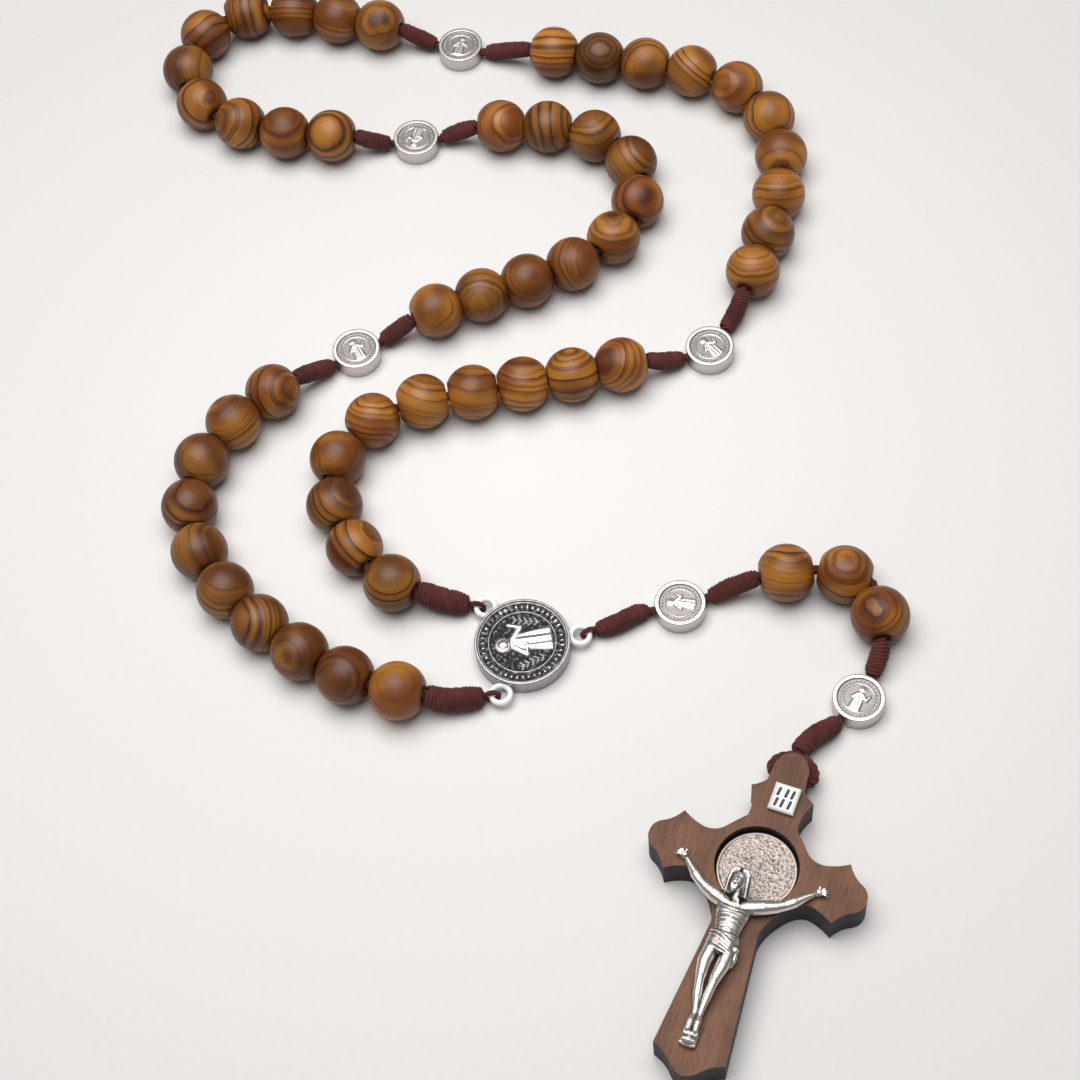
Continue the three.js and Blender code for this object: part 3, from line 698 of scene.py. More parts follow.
# The frame joins the middle six beads of a decade in pairs, which do not spin.
PAIRED = {3: "3_4", 4: "3_4", 5: "5_6", 6: "5_6", 7: "7_8", 8: "7_8"}
for number, (run, places) in enumerate(zip(decade_runs, decade_places), 1):
    for bead, place in enumerate(places, 1):
        joined = bead in PAIRED
        node = f"decade_{number}_beads_{PAIRED[bead]}" if joined else f"decade_{number}_bead_{bead}"
        body = f"strand_{number}" if joined else node
        make_bead(f"turned_bead_{number}_{bead}", run, place, body, node,
                  *GRAIN[number - 1][bead - 1], tone_of(number, bead))
for bead, place in enumerate(pendant_places, 1):
    node = f"pendant_bead_{bead}"
    make_bead(f"turned_pendant_bead_{bead}", beads_run, place, node, node,
              *PENDANT_GRAIN[bead - 1], PLAIN_TONE)


# ---------- the medals ----------
# Small bright silver-tone castings drilled edge to edge for the cord: a raised rim, a ring of
# beading and a plain robed figure in low relief, with no words and no one's likeness.
MEDAL_THICKNESS = 3.2
MEDAL_RIM = 0.75
MEDAL_SUNK = 0.32


def silver_finish(name, raised, sunk, rubbed, rough):
    """Cast silver-tone metal: bright where fingers rub it, greyer and duller in the hollows."""
    finish = Finish(name, Metallic=1.0)
    wear = finish.measure("wear")
    grime = finish.noise(finish.place(), 1400.0, 3.0, 0.6)
    bright = (wear + (grime - 0.5) * 0.35).step(0.15, 0.85)
    finish.feed("Base Color", finish.mix(bright, sunk, raised))
    finish.feed("Roughness", rough - bright * (rough - rubbed) + grime * 0.06)
    pits = finish.noise(finish.place(), 5200.0, 2.0, 0.6)
    finish.bump(pits, 0.25, 0.00004)
    return finish.material


bright_silver = silver_finish("bright_silver", paint(198, 192, 188), paint(134, 129, 127),
                              rubbed=0.36, rough=0.52)


def dome(distance, reach):
    """Height, 0 to 1, of a rounded form at that distance from its middle line."""
    return math.sqrt(1 - (distance / reach) ** 2) if distance < reach else 0.0


def limb(x, y, start, end, reach):
    """Height of a rounded bar from start to end."""
    px, py = x - start[0], y - start[1]
    bx, by = end[0] - start[0], end[1] - start[1]
    share = max(0.0, min(1.0, (px * bx + py * by) / (bx * bx + by * by)))
    return dome(math.hypot(px - bx * share, py - by * share), reach)


def robed_figure(x, y):
    """Relief of a plain standing figure in a long robe, about 9 across and upright along y."""
    height = 0.9 * dome(math.hypot(x / 0.82, (y - 3.05) / 0.98), 1.0)
    height = max(height, 0.55 * dome(math.hypot(x, y - 3.15), 1.32))
    if -4.5 < y < 2.4:
        share = (2.4 - y) / 6.9
        half = 1.0 + 1.05 * share ** 0.8
        if abs(x) < half:
            folds = 0.13 * math.sin(x * 5.2 + share * 1.2) * min(1.0, share * 2)
            ends = min(1.0, (y + 4.5) / 0.35, (2.4 - y) / 0.5)
            height = max(height, (0.8 + folds) * dome(abs(x), half) ** 0.6 * ends ** 0.5)
    for start, end, reach in [((0.7, 1.5), (2.3, 0.2), 0.62), ((2.3, 0.2), (2.9, 1.9), 0.42),
                              ((-0.7, 1.5), (-2.0, -0.2), 0.62), ((-2.0, -0.2), (-0.5, -0.5), 0.45)]:
        height = max(height, 0.85 * limb(x, y, start, end, reach))
    return height


def sprigs(x, y):
    """Relief of a leafy sprig on each side of the figure."""
    x = abs(x)
    height = 0.45 * limb(x, y, (3.1, -3.4), (4.3, 0.8), 0.16)
    for step in range(5):
        foot = (3.15 + 0.25 * step, -3.0 + 0.85 * step)
        height = max(height, 0.6 * limb(x, y, foot, (foot[0] + 0.75, foot[1] + 0.35), 0.24))
        height = max(height, 0.6 * limb(x, y, foot, (foot[0] - 0.45, foot[1] + 0.6), 0.22))
    return height


def cast_disc(name, radius, thickness, face, rings, spokes, edge_wear=1.0):
    """A flat-backed disc; face(x, y) gives how far its front lies over the rim, and how worn."""
    edge = [(radius - 0.16, 0.0), (radius - 0.04, -0.05), (radius, -0.2)]
    wall = [(radius, -thickness + 0.25), (radius - 0.08, -thickness + 0.07), (radius - 0.25, -thickness)]
    verts = [(0, 0, thickness + face(0, 0)[0])]
    wear = [face(0, 0)[1]]
    radii = [(radius - 0.3) * (i / rings) for i in range(1, rings + 1)]
    rows = [(r, None) for r in radii] + edge + wall
    for r, drop in rows:
        for spoke in range(spokes):
            turn = math.tau * spoke / spokes
            x, y = r * math.cos(turn), r * math.sin(turn)
            rise, worn = face(x, y) if drop is None else (drop, edge_wear)
            verts.append((x, y, thickness + rise))
            wear.append(worn)
    verts.append((0, 0, 0))
    wear.append(0.6)
    faces = [(0, 1 + s, 1 + (s + 1) % spokes) for s in range(spokes)]
    for row in range(len(rows) - 1):
        low, high = 1 + row * spokes, 1 + (row + 1) * spokes
        faces += [(low + s, high + s, high + (s + 1) % spokes, low + (s + 1) % spokes)
                  for s in range(spokes)]
    last = 1 + (len(rows) - 1) * spokes
    faces += [(len(verts) - 1, last + (s + 1) % spokes, last + s) for s in range(spokes)]
    mesh = bpy.data.meshes.new(name)
    mesh.from_pydata([Vector(v) * MM for v in verts], [], faces)
    mesh.attributes.new("wear", "FLOAT", "POINT").data.foreach_set("value", wear)
    smooth(mesh)
    return mesh


def beading_recipe():
    """A ring of raised bars round a cast face, each a little different in size."""
    tree, sizes = recipe("beading", {"Count": "Int", "Ring Radius": "Float", "Height": "Float",
                                     "Bar Width": "Float", "Bar Length": "Float", "Metal": "Material"})
    ring = tree.node("GeometryNodeMeshCircle", {},
                     {"Vertices": sizes["Count"], "Radius": sizes["Ring Radius"]})
    place = tree.node("GeometryNodeInputPosition")
    ring = tree.node("GeometryNodeSetPosition", {},
                     {"Geometry": ring, "Offset": tree.vector(0.0, 0.0, sizes["Height"])})
    ball = tree.node("GeometryNodeMeshIcoSphere", {}, {"Radius": 0.5, "Subdivisions": 2})
    facing = tree.node("FunctionNodeAlignRotationToVector", {"axis": "X"}, {"Vector": place})
    long = tree.node("FunctionNodeRandomValue", {"data_type": "FLOAT"}, {2: 0.55, 3: 1.1, "Seed": 5}, 1)
    wide = tree.node("FunctionNodeRandomValue", {"data_type": "FLOAT"}, {2: 0.6, 3: 1.15, "Seed": 9}, 1)
    size = tree.vector(sizes["Bar Length"] * long, sizes["Bar Width"] * wide, sizes["Bar Width"] * 0.9)
    bars = tree.node("GeometryNodeInstanceOnPoints", {},
                     {"Points": ring, "Instance": ball, "Rotation": facing, "Scale": size})
    bars = tree.node("GeometryNodeRealizeInstances", {}, {0: bars})
    hand_out(tree, tree.join(sizes["Geometry"], tree.stored(bars, "wear", 1.0)), sizes["Metal"])
    return tree


beading = beading_recipe()


def medal_face(x, y):
    """How far the face lies over the rim, and how worn it is: a figure inside a thin ring."""
    from_middle = math.hypot(x, y)
    if from_middle > MEDAL_RADIUS - MEDAL_RIM:
        return 0.0, 1.0
    slope = min(1.0, (MEDAL_RADIUS - MEDAL_RIM - from_middle) / 0.12)
    raised = 0.26 * robed_figure(x / 0.56, (y + 0.1) / 0.56)
    raised = max(raised, 0.14 * dome(abs(from_middle - 2.65), 0.13))
    return slope * (raised - MEDAL_SUNK), max(1 - slope, min(1.0, 0.28 + raised * 4))


MEDAL_BODIES = ["medal_1", "strand_2", "strand_3", "medal_4", "medal_5", "medal_6"]
# The way each medal has rolled on the cord, so the way that its figure points.
MEDAL_TURNS = [35, -20, 160, 20, 75, -35]
for number, (at, body, turn) in enumerate(zip(MEDALS_AT, MEDAL_BODIES, MEDAL_TURNS), 1):
    disc = cast_disc(f"medal_blank_{number}", MEDAL_RADIUS, MEDAL_THICKNESS, medal_face,
                     rings=44, spokes=112)
    medal = follow(f"cast_medal_{number}", beading, disc, {
        "Count": 30, "Ring Radius": 3.12 * MM, "Height": (MEDAL_THICKNESS - MEDAL_SUNK + 0.02) * MM,
        "Bar Width": 0.36 * MM, "Bar Length": 0.5 * MM, "Metal": bright_silver})
    medal.data.transform(Matrix.Translation(Vector((*at, 0)) * MM)
                         @ Matrix.Rotation(math.radians(turn), 4, "Z"))
    outward(medal)
    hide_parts(f"medal_{number}")
    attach(medal, body)


# ---------- the centrepiece ----------
# A thicker casting in antiqued silver tone: dark hollows, a polished robed figure lying with its
# head to the loop, a band of raised bars inside the rim, and three ring lugs for the cord.
CENTRE_RADIUS = 8.2
CENTRE_THICKNESS = 3.4
CENTRE_SUNK = 0.5
CENTRE_RIM = 0.42

aged_silver = silver_finish("aged_silver", paint(198, 195, 194), paint(46, 45, 48),
                            rubbed=0.3, rough=0.6)


def rough_casting(x, y, coarse, fine, share):
    """The lumps that a rough mould leaves, as a height about 0, in two grain sizes."""
    lumps = noise.noise(Vector((x * coarse[0], y * coarse[0], coarse[1])))
    return lumps + share * noise.noise(Vector((x * fine[0], y * fine[0], fine[1])))


def centre_face(x, y):
    """How far the face lies over the rim, and how worn it is: figure, sprigs and two rings."""
    from_middle = math.hypot(x, y)
    if from_middle > CENTRE_RADIUS - CENTRE_RIM:
        return 0.0, 0.5
    slope = min(1.0, (CENTRE_RADIUS - CENTRE_RIM - from_middle) / 0.15)
    raised = 0.08 + 0.14 * rough_casting(x, y, (1.9, 2.0), (4.3, 7.0), 0.5)
    if from_middle < 5.5:
        raised = max(raised, 0.66 * robed_figure(x / 1.2, (y + 0.2) / 1.14),
                     0.36 * sprigs(x / 1.05, y / 1.05))
    raised = max(raised, 0.26 * dome(abs(from_middle - 5.75), 0.17),
                 0.24 * dome(abs(from_middle - 7.55), 0.14))
    return slope * (raised - CENTRE_SUNK), max(0.62 * (1 - slope), min(1.0, 0.03 + raised * 2.1))


LUG_HALF_WIDTH = 0.475
LUG_MIDDLE = LUG_OUTER - LUG_HALF_WIDTH
LUG_HALF_HEIGHT = 0.72
LUG_WEAR = 0.7


def ring_lug(work, wear, at):
    """A cast ring, thick enough to carry the cord's loop."""
    around, across = 36, 14
    grid = []
    for i in range(around):
        turn = math.tau * i / around
        out = Vector((math.cos(turn), math.sin(turn), 0))
        row = []
        for j in range(across):
            angle = math.tau * j / across
            spot = at + out * (LUG_MIDDLE + LUG_HALF_WIDTH * math.cos(angle))
            spot.z += LUG_HALF_HEIGHT * math.sin(angle)
            vert = work.verts.new(spot * MM)
            vert[wear] = LUG_WEAR
            row.append(vert)
        grid.append(row)
    for i in range(around):
        for j in range(across):
            after, up = (i + 1) % around, (j + 1) % across
            face = work.faces.new((grid[i][j], grid[after][j], grid[after][up], grid[i][up]))
            face.smooth = True


disc = cast_disc("centre_blank", CENTRE_RADIUS, CENTRE_THICKNESS, centre_face,
                 rings=96, spokes=224, edge_wear=0.56)
centrepiece = follow("cast_centrepiece", beading, disc, {
    "Count": 44, "Ring Radius": 6.65 * MM, "Height": (CENTRE_THICKNESS - CENTRE_SUNK + 0.06) * MM,
    "Bar Width": 0.62 * MM, "Bar Length": 1.3 * MM, "Metal": aged_silver})
FIGURE_TURN = math.radians(PENDANT_TURN + 90)    # head to the loop, feet to the pendant
centrepiece.data.transform(Matrix.Rotation(FIGURE_TURN, 4, "Z"))
work = bmesh.new()
work.from_mesh(centrepiece.data)
for degrees in (0, LUG_SPREAD, -LUG_SPREAD):
    ring_lug(work, work.verts.layers.float["wear"],
             polar((0, 0), PENDANT_TURN + degrees, LUG_REACH, LUG_HEIGHT))
work.to_mesh(centrepiece.data)
work.free()
centrepiece.data.transform(Matrix.Translation(Vector((*CENTRE_AT, 0)) * MM))
outward(centrepiece)
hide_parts("centrepiece")
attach(centrepiece, "centrepiece")


# ---------- the cord's eyes round the lugs ----------
# At each lug one ply of the cord passes down through the ring and back under it to the knot.
EYE_PLY = (1.9, 0.22, 0.24)      # the single ply's own twist, as WHOLE_CORD gives the cord's
# How far out from the lug's middle towards the knot, and how high over it.
EYE_ROUTE = [(2.2, 1.1), (1.5, 1.28), (0.55, 0.75), (0.35, 0), (0.55, -0.75), (1.5, -1.2), (2.3, -0.9)]


def eye_round_lug(name, degrees, run, at_start, body):
    """One ply from the knot through a lug's ring and back under it."""
    lug = polar(CENTRE_AT, PENDANT_TURN + degrees, LUG_REACH, LUG_HEIGHT)
    knot_end = run.at(STUB + 0.4) if at_start else run.at(run.length - STUB - 0.4)
    away = Vector((knot_end.x - lug.x, knot_end.y - lug.y, 0)).normalized()
    rise = Vector((0, 0, 1))
    eye = Run(knot_end + rise * 0.1, [tuple(lug + away * out + rise * up) for out, up in EYE_ROUTE],
              knot_end - rise * 0.5)
    piece = tie_cord(name, eye.stretch(0, eye.length, 0.2), [], EYE_PLY)
    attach(piece, body)


eye_round_lug("eye_first_decade", LUG_SPREAD, decade_runs[0], True, "strand_1")
eye_round_lug("eye_last_decade", -LUG_SPREAD, decade_runs[4], False, "strand_5")
eye_round_lug("eye_pendant", 0, top_run, True, "pendant_top")


# ---------- the crucifix wood ----------
# Sawn from a flat mid-brown board, the face oiled and its sawn edges stained near black; a round
# seat is bored in the front for the inlay and a hole goes sideways through the tab.
CROSS_THICKNESS = 6.5
SEAT_RADIUS = 6.75
SEAT_DEPTH = 2.9
CROSS_FOOT = -35.8
# Half of the outline from the foot up: straight to a point, or bent past one point to the next.
CROSS_HALF = [
    (1.4, -35.6, 2.6, -34.2), (3.8, -32.9, 5.8, -32.3), (3.8, -11.2), (4.0, -8.6, 6.2, -5.8),
    (8.0, -3.4, 10.0, -3.6), (12.0, -4.0, 13.8, -5.2), (14.8, -3.4, 16.2, -2.6),
    (18.0, -1.8, 18.0, 0), (18.0, 1.8, 16.2, 2.6), (14.8, 3.4, 13.8, 5.2),
    (12.0, 4.0, 10.0, 3.6), (8.0, 3.4, 6.7, 4.9), (5.5, 6.4, 4.1, 7.8),
    (3.7, 10.2, 5.2, 13.0), (4.0, 13.6, 3.1, 14.7), (2.9, 17.2),
]
TAB_TOP = 17.2
TAB_HALF = 2.9
TAB_RISE = 3.4
TAB_HOLE_UP = 17.6
TAB_HOLE_RADIUS = 1.3
cross_place = (Matrix.Translation(Vector((*CROSS_AT, 0)) * MM) @ Matrix.Rotation(CROSS_TURN, 4, "Z"))


def cross_outline():
    """The outline from the foot up the right side and down the left."""
    right = [Vector((0, CROSS_FOOT))]
    for step in CROSS_HALF:
        if len(step) == 2:
            right.append(Vector(step))
            continue
        start, pull, end = right[-1], Vector(step[:2]), Vector(step[2:])
        for i in range(1, 11):
            t = i / 10
            right.append(start * (1 - t) ** 2 + pull * 2 * t * (1 - t) + end * t * t)
    for step in range(1, 15):
        angle = step * math.pi / 28
        right.append(Vector((TAB_HALF * math.cos(angle), TAB_TOP + TAB_RISE * math.sin(angle))))
    return right + [Vector((-p.x, p.y)) for p in right[-2:0:-1]]


def board(name, outline, low, high):
    """A flat piece sawn to an outline."""
    count = len(outline)
    verts = [(p.x, p.y, z) for z in (low, high) for p in outline]
    faces = [tuple(range(count))[::-1], tuple(range(count, 2 * count))]
    faces += [(i, (i + 1) % count, count + (i + 1) % count, count + i) for i in range(count)]
    mesh = bpy.data.meshes.new(name)
    mesh.from_pydata([Vector(v) * MM for v in verts], [], faces)
    return put(name, mesh)


def circle(radius, sides):
    return [Vector((radius * math.cos(math.tau * i / sides), radius * math.sin(math.tau * i / sides)))
            for i in range(sides)]


def finished(piece):
    """Applies a piece's modifiers to its mesh."""
    graph = bpy.context.evaluated_depsgraph_get()
    made = bpy.data.meshes.new_from_object(piece.evaluated_get(graph))
    piece.modifiers.clear()
    piece.data = made
    return piece


def cross_finish():
    """Oiled brown face with fine grain up the shaft; stained near-black edges, rubbed at the rim."""
    finish = Finish("cross_wood", Specular_IOR_Level=0.35)
    turned = finish.node("ShaderNodeMapping", {"vector_type": "TEXTURE"},
                         {"Vector": finish.place(), "Rotation": (0.0, 0.0, CROSS_TURN)})
    height = finish.node("ShaderNodeSeparateXYZ", {}, {0: turned}, 2)
    grain = finish.noise(finish.scaled(turned, (2600.0, 170.0, 2600.0)), 1.0, 3.0, 0.6)
    cloud = finish.noise(finish.scaled(turned, (260.0, 90.0, 260.0)), 1.0, 3.0)
    pores = finish.noise(finish.scaled(turned, (5200.0, 420.0, 5200.0)), 1.0, 2.0).step(0.6, 0.72)
    face = finish.mix(cloud.step(0.3, 0.7), paint(86, 55, 38), paint(112, 75, 51))
    face = finish.mix(grain.step(0.3, 0.75) * 0.5, face, paint(73, 44, 30))
    face = finish.mix(pores * 0.5, face, paint(60, 37, 26))
    sawn = finish.mix(grain, paint(28, 24, 30), paint(42, 34, 38))
    top = CROSS_THICKNESS * MM
    rub = (height + (cloud - 0.5) * 0.0003).step(top - 0.00035, top - 0.0001)
    finish.feed("Base Color", finish.mix(rub, sawn, face))
    finish.feed("Roughness", 0.55 + grain * 0.15)
    finish.bump(grain - pores, 0.4, 0.00008)
    return finish.material


cross = board("crucifix_board", cross_outline(), 0, CROSS_THICKNESS)
seat = board("seat_cutter", circle(SEAT_RADIUS, 96), CROSS_THICKNESS - SEAT_DEPTH, CROSS_THICKNESS + 1)
hole = board("hole_cutter", circle(TAB_HOLE_RADIUS, 32), -6, 6)
hole.data.transform(Matrix.Translation(Vector((0, TAB_HOLE_UP, CROSS_THICKNESS / 2)) * MM)
                    @ Matrix.Rotation(math.pi / 2, 4, "Y"))
for cutter in (seat, hole):
    outward(cutter)
    cut = cross.modifiers.new("cut", "BOOLEAN")
    cut.operation = "DIFFERENCE"
    cut.solver = "EXACT"
    cut.object = cutter
finished(cross)
soften = cross.modifiers.new("soften", "BEVEL")
soften.width = 0.16 * MM
soften.segments = 2
soften.limit_method = "ANGLE"
soften.angle_limit = math.radians(40)
finished(cross)
for cutter in (seat, hole):
    bpy.data.objects.remove(cutter)
cross.data.transform(cross_place)
cross.data.materials.clear()
cross.data.materials.append(cross_finish())
outward(cross)
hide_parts("cross_wood")
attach(cross, "crucifix")


# ---------- the inlay in the crucifix ----------
# A thin pale stamped disc pressed into the seat, its face finely hammered inside a narrow border.
INLAY_RADIUS = 6.45
INLAY_THICKNESS = 1.0
INLAY_SEAT = 3.9
inlay_silver = silver_finish("inlay_silver", paint(171, 159, 153), paint(72, 66, 64),
                             rubbed=0.48, rough=0.64)


def inlay_face(x, y):
    """How far the stamped face lies over its border, and how worn it is."""
    from_middle = math.hypot(x, y)
    if from_middle > INLAY_RADIUS - 0.5:
        return 0.0, 0.9
    blows = rough_casting(x, y, (2.6, 3.0), (5.6, 9.0), 0.9)
    bars = max(dome(abs(x), 0.4) if abs(y) < 3.6 else 0.0, dome(abs(y), 0.4) if abs(x) < 3.6 else 0.0)
    raised = 0.12 * blows + 0.04 * bars
    return raised - 0.15, min(1.0, max(0.0, 0.6 + 2.6 * raised))


disc = cast_disc("inlay_blank", INLAY_RADIUS, INLAY_THICKNESS, inlay_face, rings=60, spokes=144)
inlay = follow("stamped_inlay", beading, disc, {
    "Count": 52, "Ring Radius": 5.45 * MM, "Height": (INLAY_THICKNESS - 0.16) * MM,
    "Bar Width": 0.2 * MM, "Bar Length": 0.36 * MM, "Metal": inlay_silver})
inlay.data.transform(cross_place @ Matrix.Translation((0, 0, INLAY_SEAT * MM)))
outward(inlay)
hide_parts("cross_inlay_medal")
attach(inlay, "crucifix")


# ---------- the figure on the crucifix ----------
# One bright casting, flat at the back: arms raised in a Y, head bowed to its right with long
# hair and a beard, a knotted loincloth, and the feet together over a small block.
BACK = 6.8                       # the figure's back lies this high
TRUNK_HEIGHT = 0.9               # and the middle of its trunk this much higher


def swollen(work, middle, sizes, lean=0.0):
    """A rounded mass, its sizes across, up and deep, leaning in the plane of the cross."""
    placed = (Matrix.Translation(Vector((middle[0], middle[1], BACK + middle[2])) * MM)
              @ Matrix.Rotation(math.radians(lean), 4, "Z") @ Matrix.Diagonal(Vector((*sizes, 1 / MM)) * MM))
    bmesh.ops.create_icosphere(work, subdivisions=3, radius=1.0, matrix=placed)


def chain(work, spots):
    """A limb through (across, up, deep, radius) spots, round at every joint."""
    for x, y, z, r in spots:
        swollen(work, (x, y, z), (r, r, r))
    for (ax, ay, az, ar), (bx, by, bz, br) in zip(spots, spots[1:]):
        low, high = Vector((ax, ay, BACK + az)), Vector((bx, by, BACK + bz))
        way = high - low
        placed = (Matrix.Translation((low + high) / 2 * MM)
                  @ way.to_track_quat("Z", "Y").to_matrix().to_4x4())
        bmesh.ops.create_cone(work, cap_ends=True, segments=14, radius1=ar * MM, radius2=br * MM,
                              depth=way.length * MM, matrix=placed)


def trunk(work, stations):
    """A broad flattened mass through (across, up, half width, depth) stations, a little apart."""
    for (ax, ay, aw, ad), (bx, by, bw, bd) in zip(stations, stations[1:]):
        for i in range(5):
            t = i / 4
            swollen(work, (ax + (bx - ax) * t, ay + (by - ay) * t, TRUNK_HEIGHT),
                    (aw + (bw - aw) * t, 0.7, ad + (bd - ad) * t))


def ridge(work, middle, up, wide, deep, sag, thick):
    """A raised line across the trunk, its ends drooping or lifting by sag."""
    spots = []
    for i in range(7):
        side = -0.92 + 0.307 * i
        spots.append((middle + wide * side, up + sag * side * side,
                      TRUNK_HEIGHT + deep * math.sqrt(1 - side * side), thick))
    chain(work, spots)


work = bmesh.new()
# trunk: shoulders, chest, waist, with the ribs showing
trunk(work, [(-0.95, -7.2, 2.0, 1.0), (-0.9, -8.0, 2.8, 1.35), (-0.9, -9.4, 2.65, 1.55),
             (-0.85, -10.9, 2.3, 1.4), (-0.8, -12.2, 2.05, 1.25), (-0.8, -13.6, 2.3, 1.3)])
ridge(work, -0.9, -9.1, 2.6, 1.55, 0.5, 0.18)
ridge(work, -0.9, -9.95, 2.45, 1.47, -0.5, 0.13)
ridge(work, -0.9, -10.65, 2.25, 1.4, -0.55, 0.13)
ridge(work, -0.85, -11.35, 2.1, 1.32, -0.6, 0.12)
swollen(work, (-0.8, -12.4, 1.95), (0.9, 0.55, 0.3))
# its right arm, then its left
chain(work, [(-2.2, -8.0, 1.1, 1.1), (-3.4, -7.6, 1.1, 1.25), (-4.7, -7.15, 1.05, 1.22),
             (-6.2, -6.5, 0.95, 1.0), (-7.4, -5.8, 0.85, 0.84), (-8.4, -5.0, 0.85, 0.88),
             (-9.6, -3.9, 0.75, 0.62), (-10.5, -3.0, 0.68, 0.46)])
chain(work, [(0.5, -7.9, 1.1, 1.1), (1.9, -7.4, 1.1, 1.25), (3.3, -6.8, 1.05, 1.22),
             (5.0, -6.05, 0.95, 1.0), (6.4, -5.2, 0.85, 0.84), (7.5, -4.3, 0.85, 0.88),
             (8.9, -2.9, 0.75, 0.62), (9.8, -2.1, 0.68, 0.46)])
# hands: a palm, a thumb and four fingers, lightly curled
for side, palm_x, palm_y in ((-1, -11.2, -2.4), (1, 10.6, -1.4)):
    swollen(work, (palm_x, palm_y, 0.6), (0.75, 0.62, 0.36), side * 35)
    for finger in range(4):
        spread = math.radians(-8 + 21 * finger)
        reach = Vector((side * math.cos(spread), math.sin(spread)))
        chain(work, [(palm_x + reach.x * 0.4, palm_y + reach.y * 0.4, 0.62, 0.19),
                     (palm_x + reach.x * 1.0, palm_y + reach.y * 1.0, 0.8, 0.17),
                     (palm_x + reach.x * 1.5, palm_y + reach.y * 1.5, 0.66, 0.14)])
    chain(work, [(palm_x, palm_y + 0.2, 0.7, 0.2), (palm_x - side * 0.1, palm_y + 1.0, 0.75, 0.16)])
# neck and bowed head, with long hair and a beard
chain(work, [(-0.95, -8.0, 1.3, 0.9), (-1.15, -7.0, 1.7, 0.8)])
before_head = len(work.verts)
chain(work, [(-1.2, -6.6, 1.8, 0.62), (-1.4, -5.6, 2.0, 0.66)])
swollen(work, (-1.5, -4.35, 2.15), (0.98, 1.22, 1.05), 10)
swollen(work, (-1.62, -4.75, 2.6), (0.72, 0.95, 0.68), 10)
chain(work, [(-1.66, -4.55, 3.24, 0.1), (-1.74, -5.05, 3.36, 0.14)])
chain(work, [(-2.05, -4.42, 3.05, 0.1), (-1.72, -4.36, 3.2, 0.09), (-1.4, -4.3, 3.1, 0.1)])
swollen(work, (-2.0, -4.72, 3.02), (0.15, 0.09, 0.1))
swollen(work, (-1.48, -4.62, 3.05), (0.15, 0.09, 0.1))
swollen(work, (-1.82, -5.42, 2.95), (0.26, 0.1, 0.2))
chain(work, [(-2.1, -5.3, 2.7, 0.24), (-1.95, -5.95, 2.65, 0.3), (-1.85, -6.45, 2.45, 0.24)])
chain(work, [(-1.45, -5.3, 2.7, 0.24), (-1.62, -5.95, 2.65, 0.3), (-1.8, -6.45, 2.45, 0.22)])
swollen(work, (-1.45, -4.85, 1.45), (1.25, 1.75, 0.9), 6)
for lock in range(9):
    sweep = -1.0 + 0.25 * lock
    chain(work, [(-1.45 + sweep * 0.4, -3.25, 2.2, 0.22), (-1.45 + sweep * 1.0, -3.75, 2.4, 0.22),
                 (-1.5 + sweep * 1.2, -4.6, 2.1, 0.24), (-1.45 + sweep * 1.25, -5.6, 1.8, 0.24),
                 (-1.35 + sweep * 1.28, -6.5, 1.5, 0.22)])
for side in (-1, -0.7, -0.42, 0.42, 0.7, 1):
    chain(work, [(-1.5 + side * 0.2, -3.2, 2.5, 0.24), (-1.5 + side * 0.75, -3.42, 2.9, 0.25),
                 (-1.5 + side * 1.0, -4.1, 2.85, 0.24), (-1.5 + side * 1.1, -5.0, 2.6, 0.22),
                 (-1.45 + side * 1.15, -5.9, 2.2, 0.22), (-1.4 + side * 1.2, -6.6, 1.9, 0.2)])
work.verts.ensure_lookup_table()
neck = Vector((-1.3, -7.0, BACK + 1.2)) * MM
bmesh.ops.scale(work, vec=(1.34, 1.2, 1.12), space=Matrix.Translation(-neck),
                verts=work.verts[before_head:])
# loincloth: a wrap drawn down to the hip, its folds and the hanging end
trunk(work, [(-0.75, -13.2, 2.35, 1.45), (-0.75, -14.6, 2.6, 1.6), (-0.75, -16.0, 2.6, 1.45)])
for fold in range(5):
    drop = fold * 0.62
    chain(work, [(-3.15, -12.9 - drop, 1.1, 0.2), (-2.3, -13.1 - drop, 2.0, 0.19),
                 (-1.0, -13.6 - drop, 2.42, 0.17), (0.4, -14.3 - drop * 0.8, 2.2, 0.18),
                 (1.5, -14.9 - drop * 0.6, 1.5, 0.24)])
swollen(work, (1.5, -15.0, 1.5), (0.6, 0.6, 0.55))
chain(work, [(1.6, -15.2, 1.4, 0.34), (1.75, -16.4, 1.3, 0.46), (1.5, -17.6, 1.0, 0.36)])
chain(work, [(1.2, -15.3, 1.6, 0.26), (1.2, -16.6, 1.6, 0.34), (1.0, -17.4, 1.4, 0.28)])
# legs, the knees a little bent
chain(work, [(-2.15, -16.0, 1.1, 1.2), (-2.4, -18.2, 1.35, 1.16), (-2.2, -20.3, 1.7, 0.94),
             (-2.05, -21.6, 1.6, 0.74), (-1.75, -23.4, 1.3, 0.76), (-1.3, -25.4, 1.1, 0.52),
             (-1.15, -26.6, 1.05, 0.44)])
chain(work, [(0.5, -16.0, 1.1, 1.2), (0.4, -18.0, 1.35, 1.16), (0.05, -20.3, 1.7, 0.94),
             (-0.05, -21.6, 1.6, 0.74), (-0.2, -23.4, 1.35, 0.74), (-0.3, -25.4, 1.2, 0.52),
             (-0.3, -26.6, 1.15, 0.44)])
swollen(work, (-2.2, -20.4, 2.3), (0.5, 0.6, 0.34))
swollen(work, (0.02, -20.4, 2.3), (0.5, 0.6, 0.34))
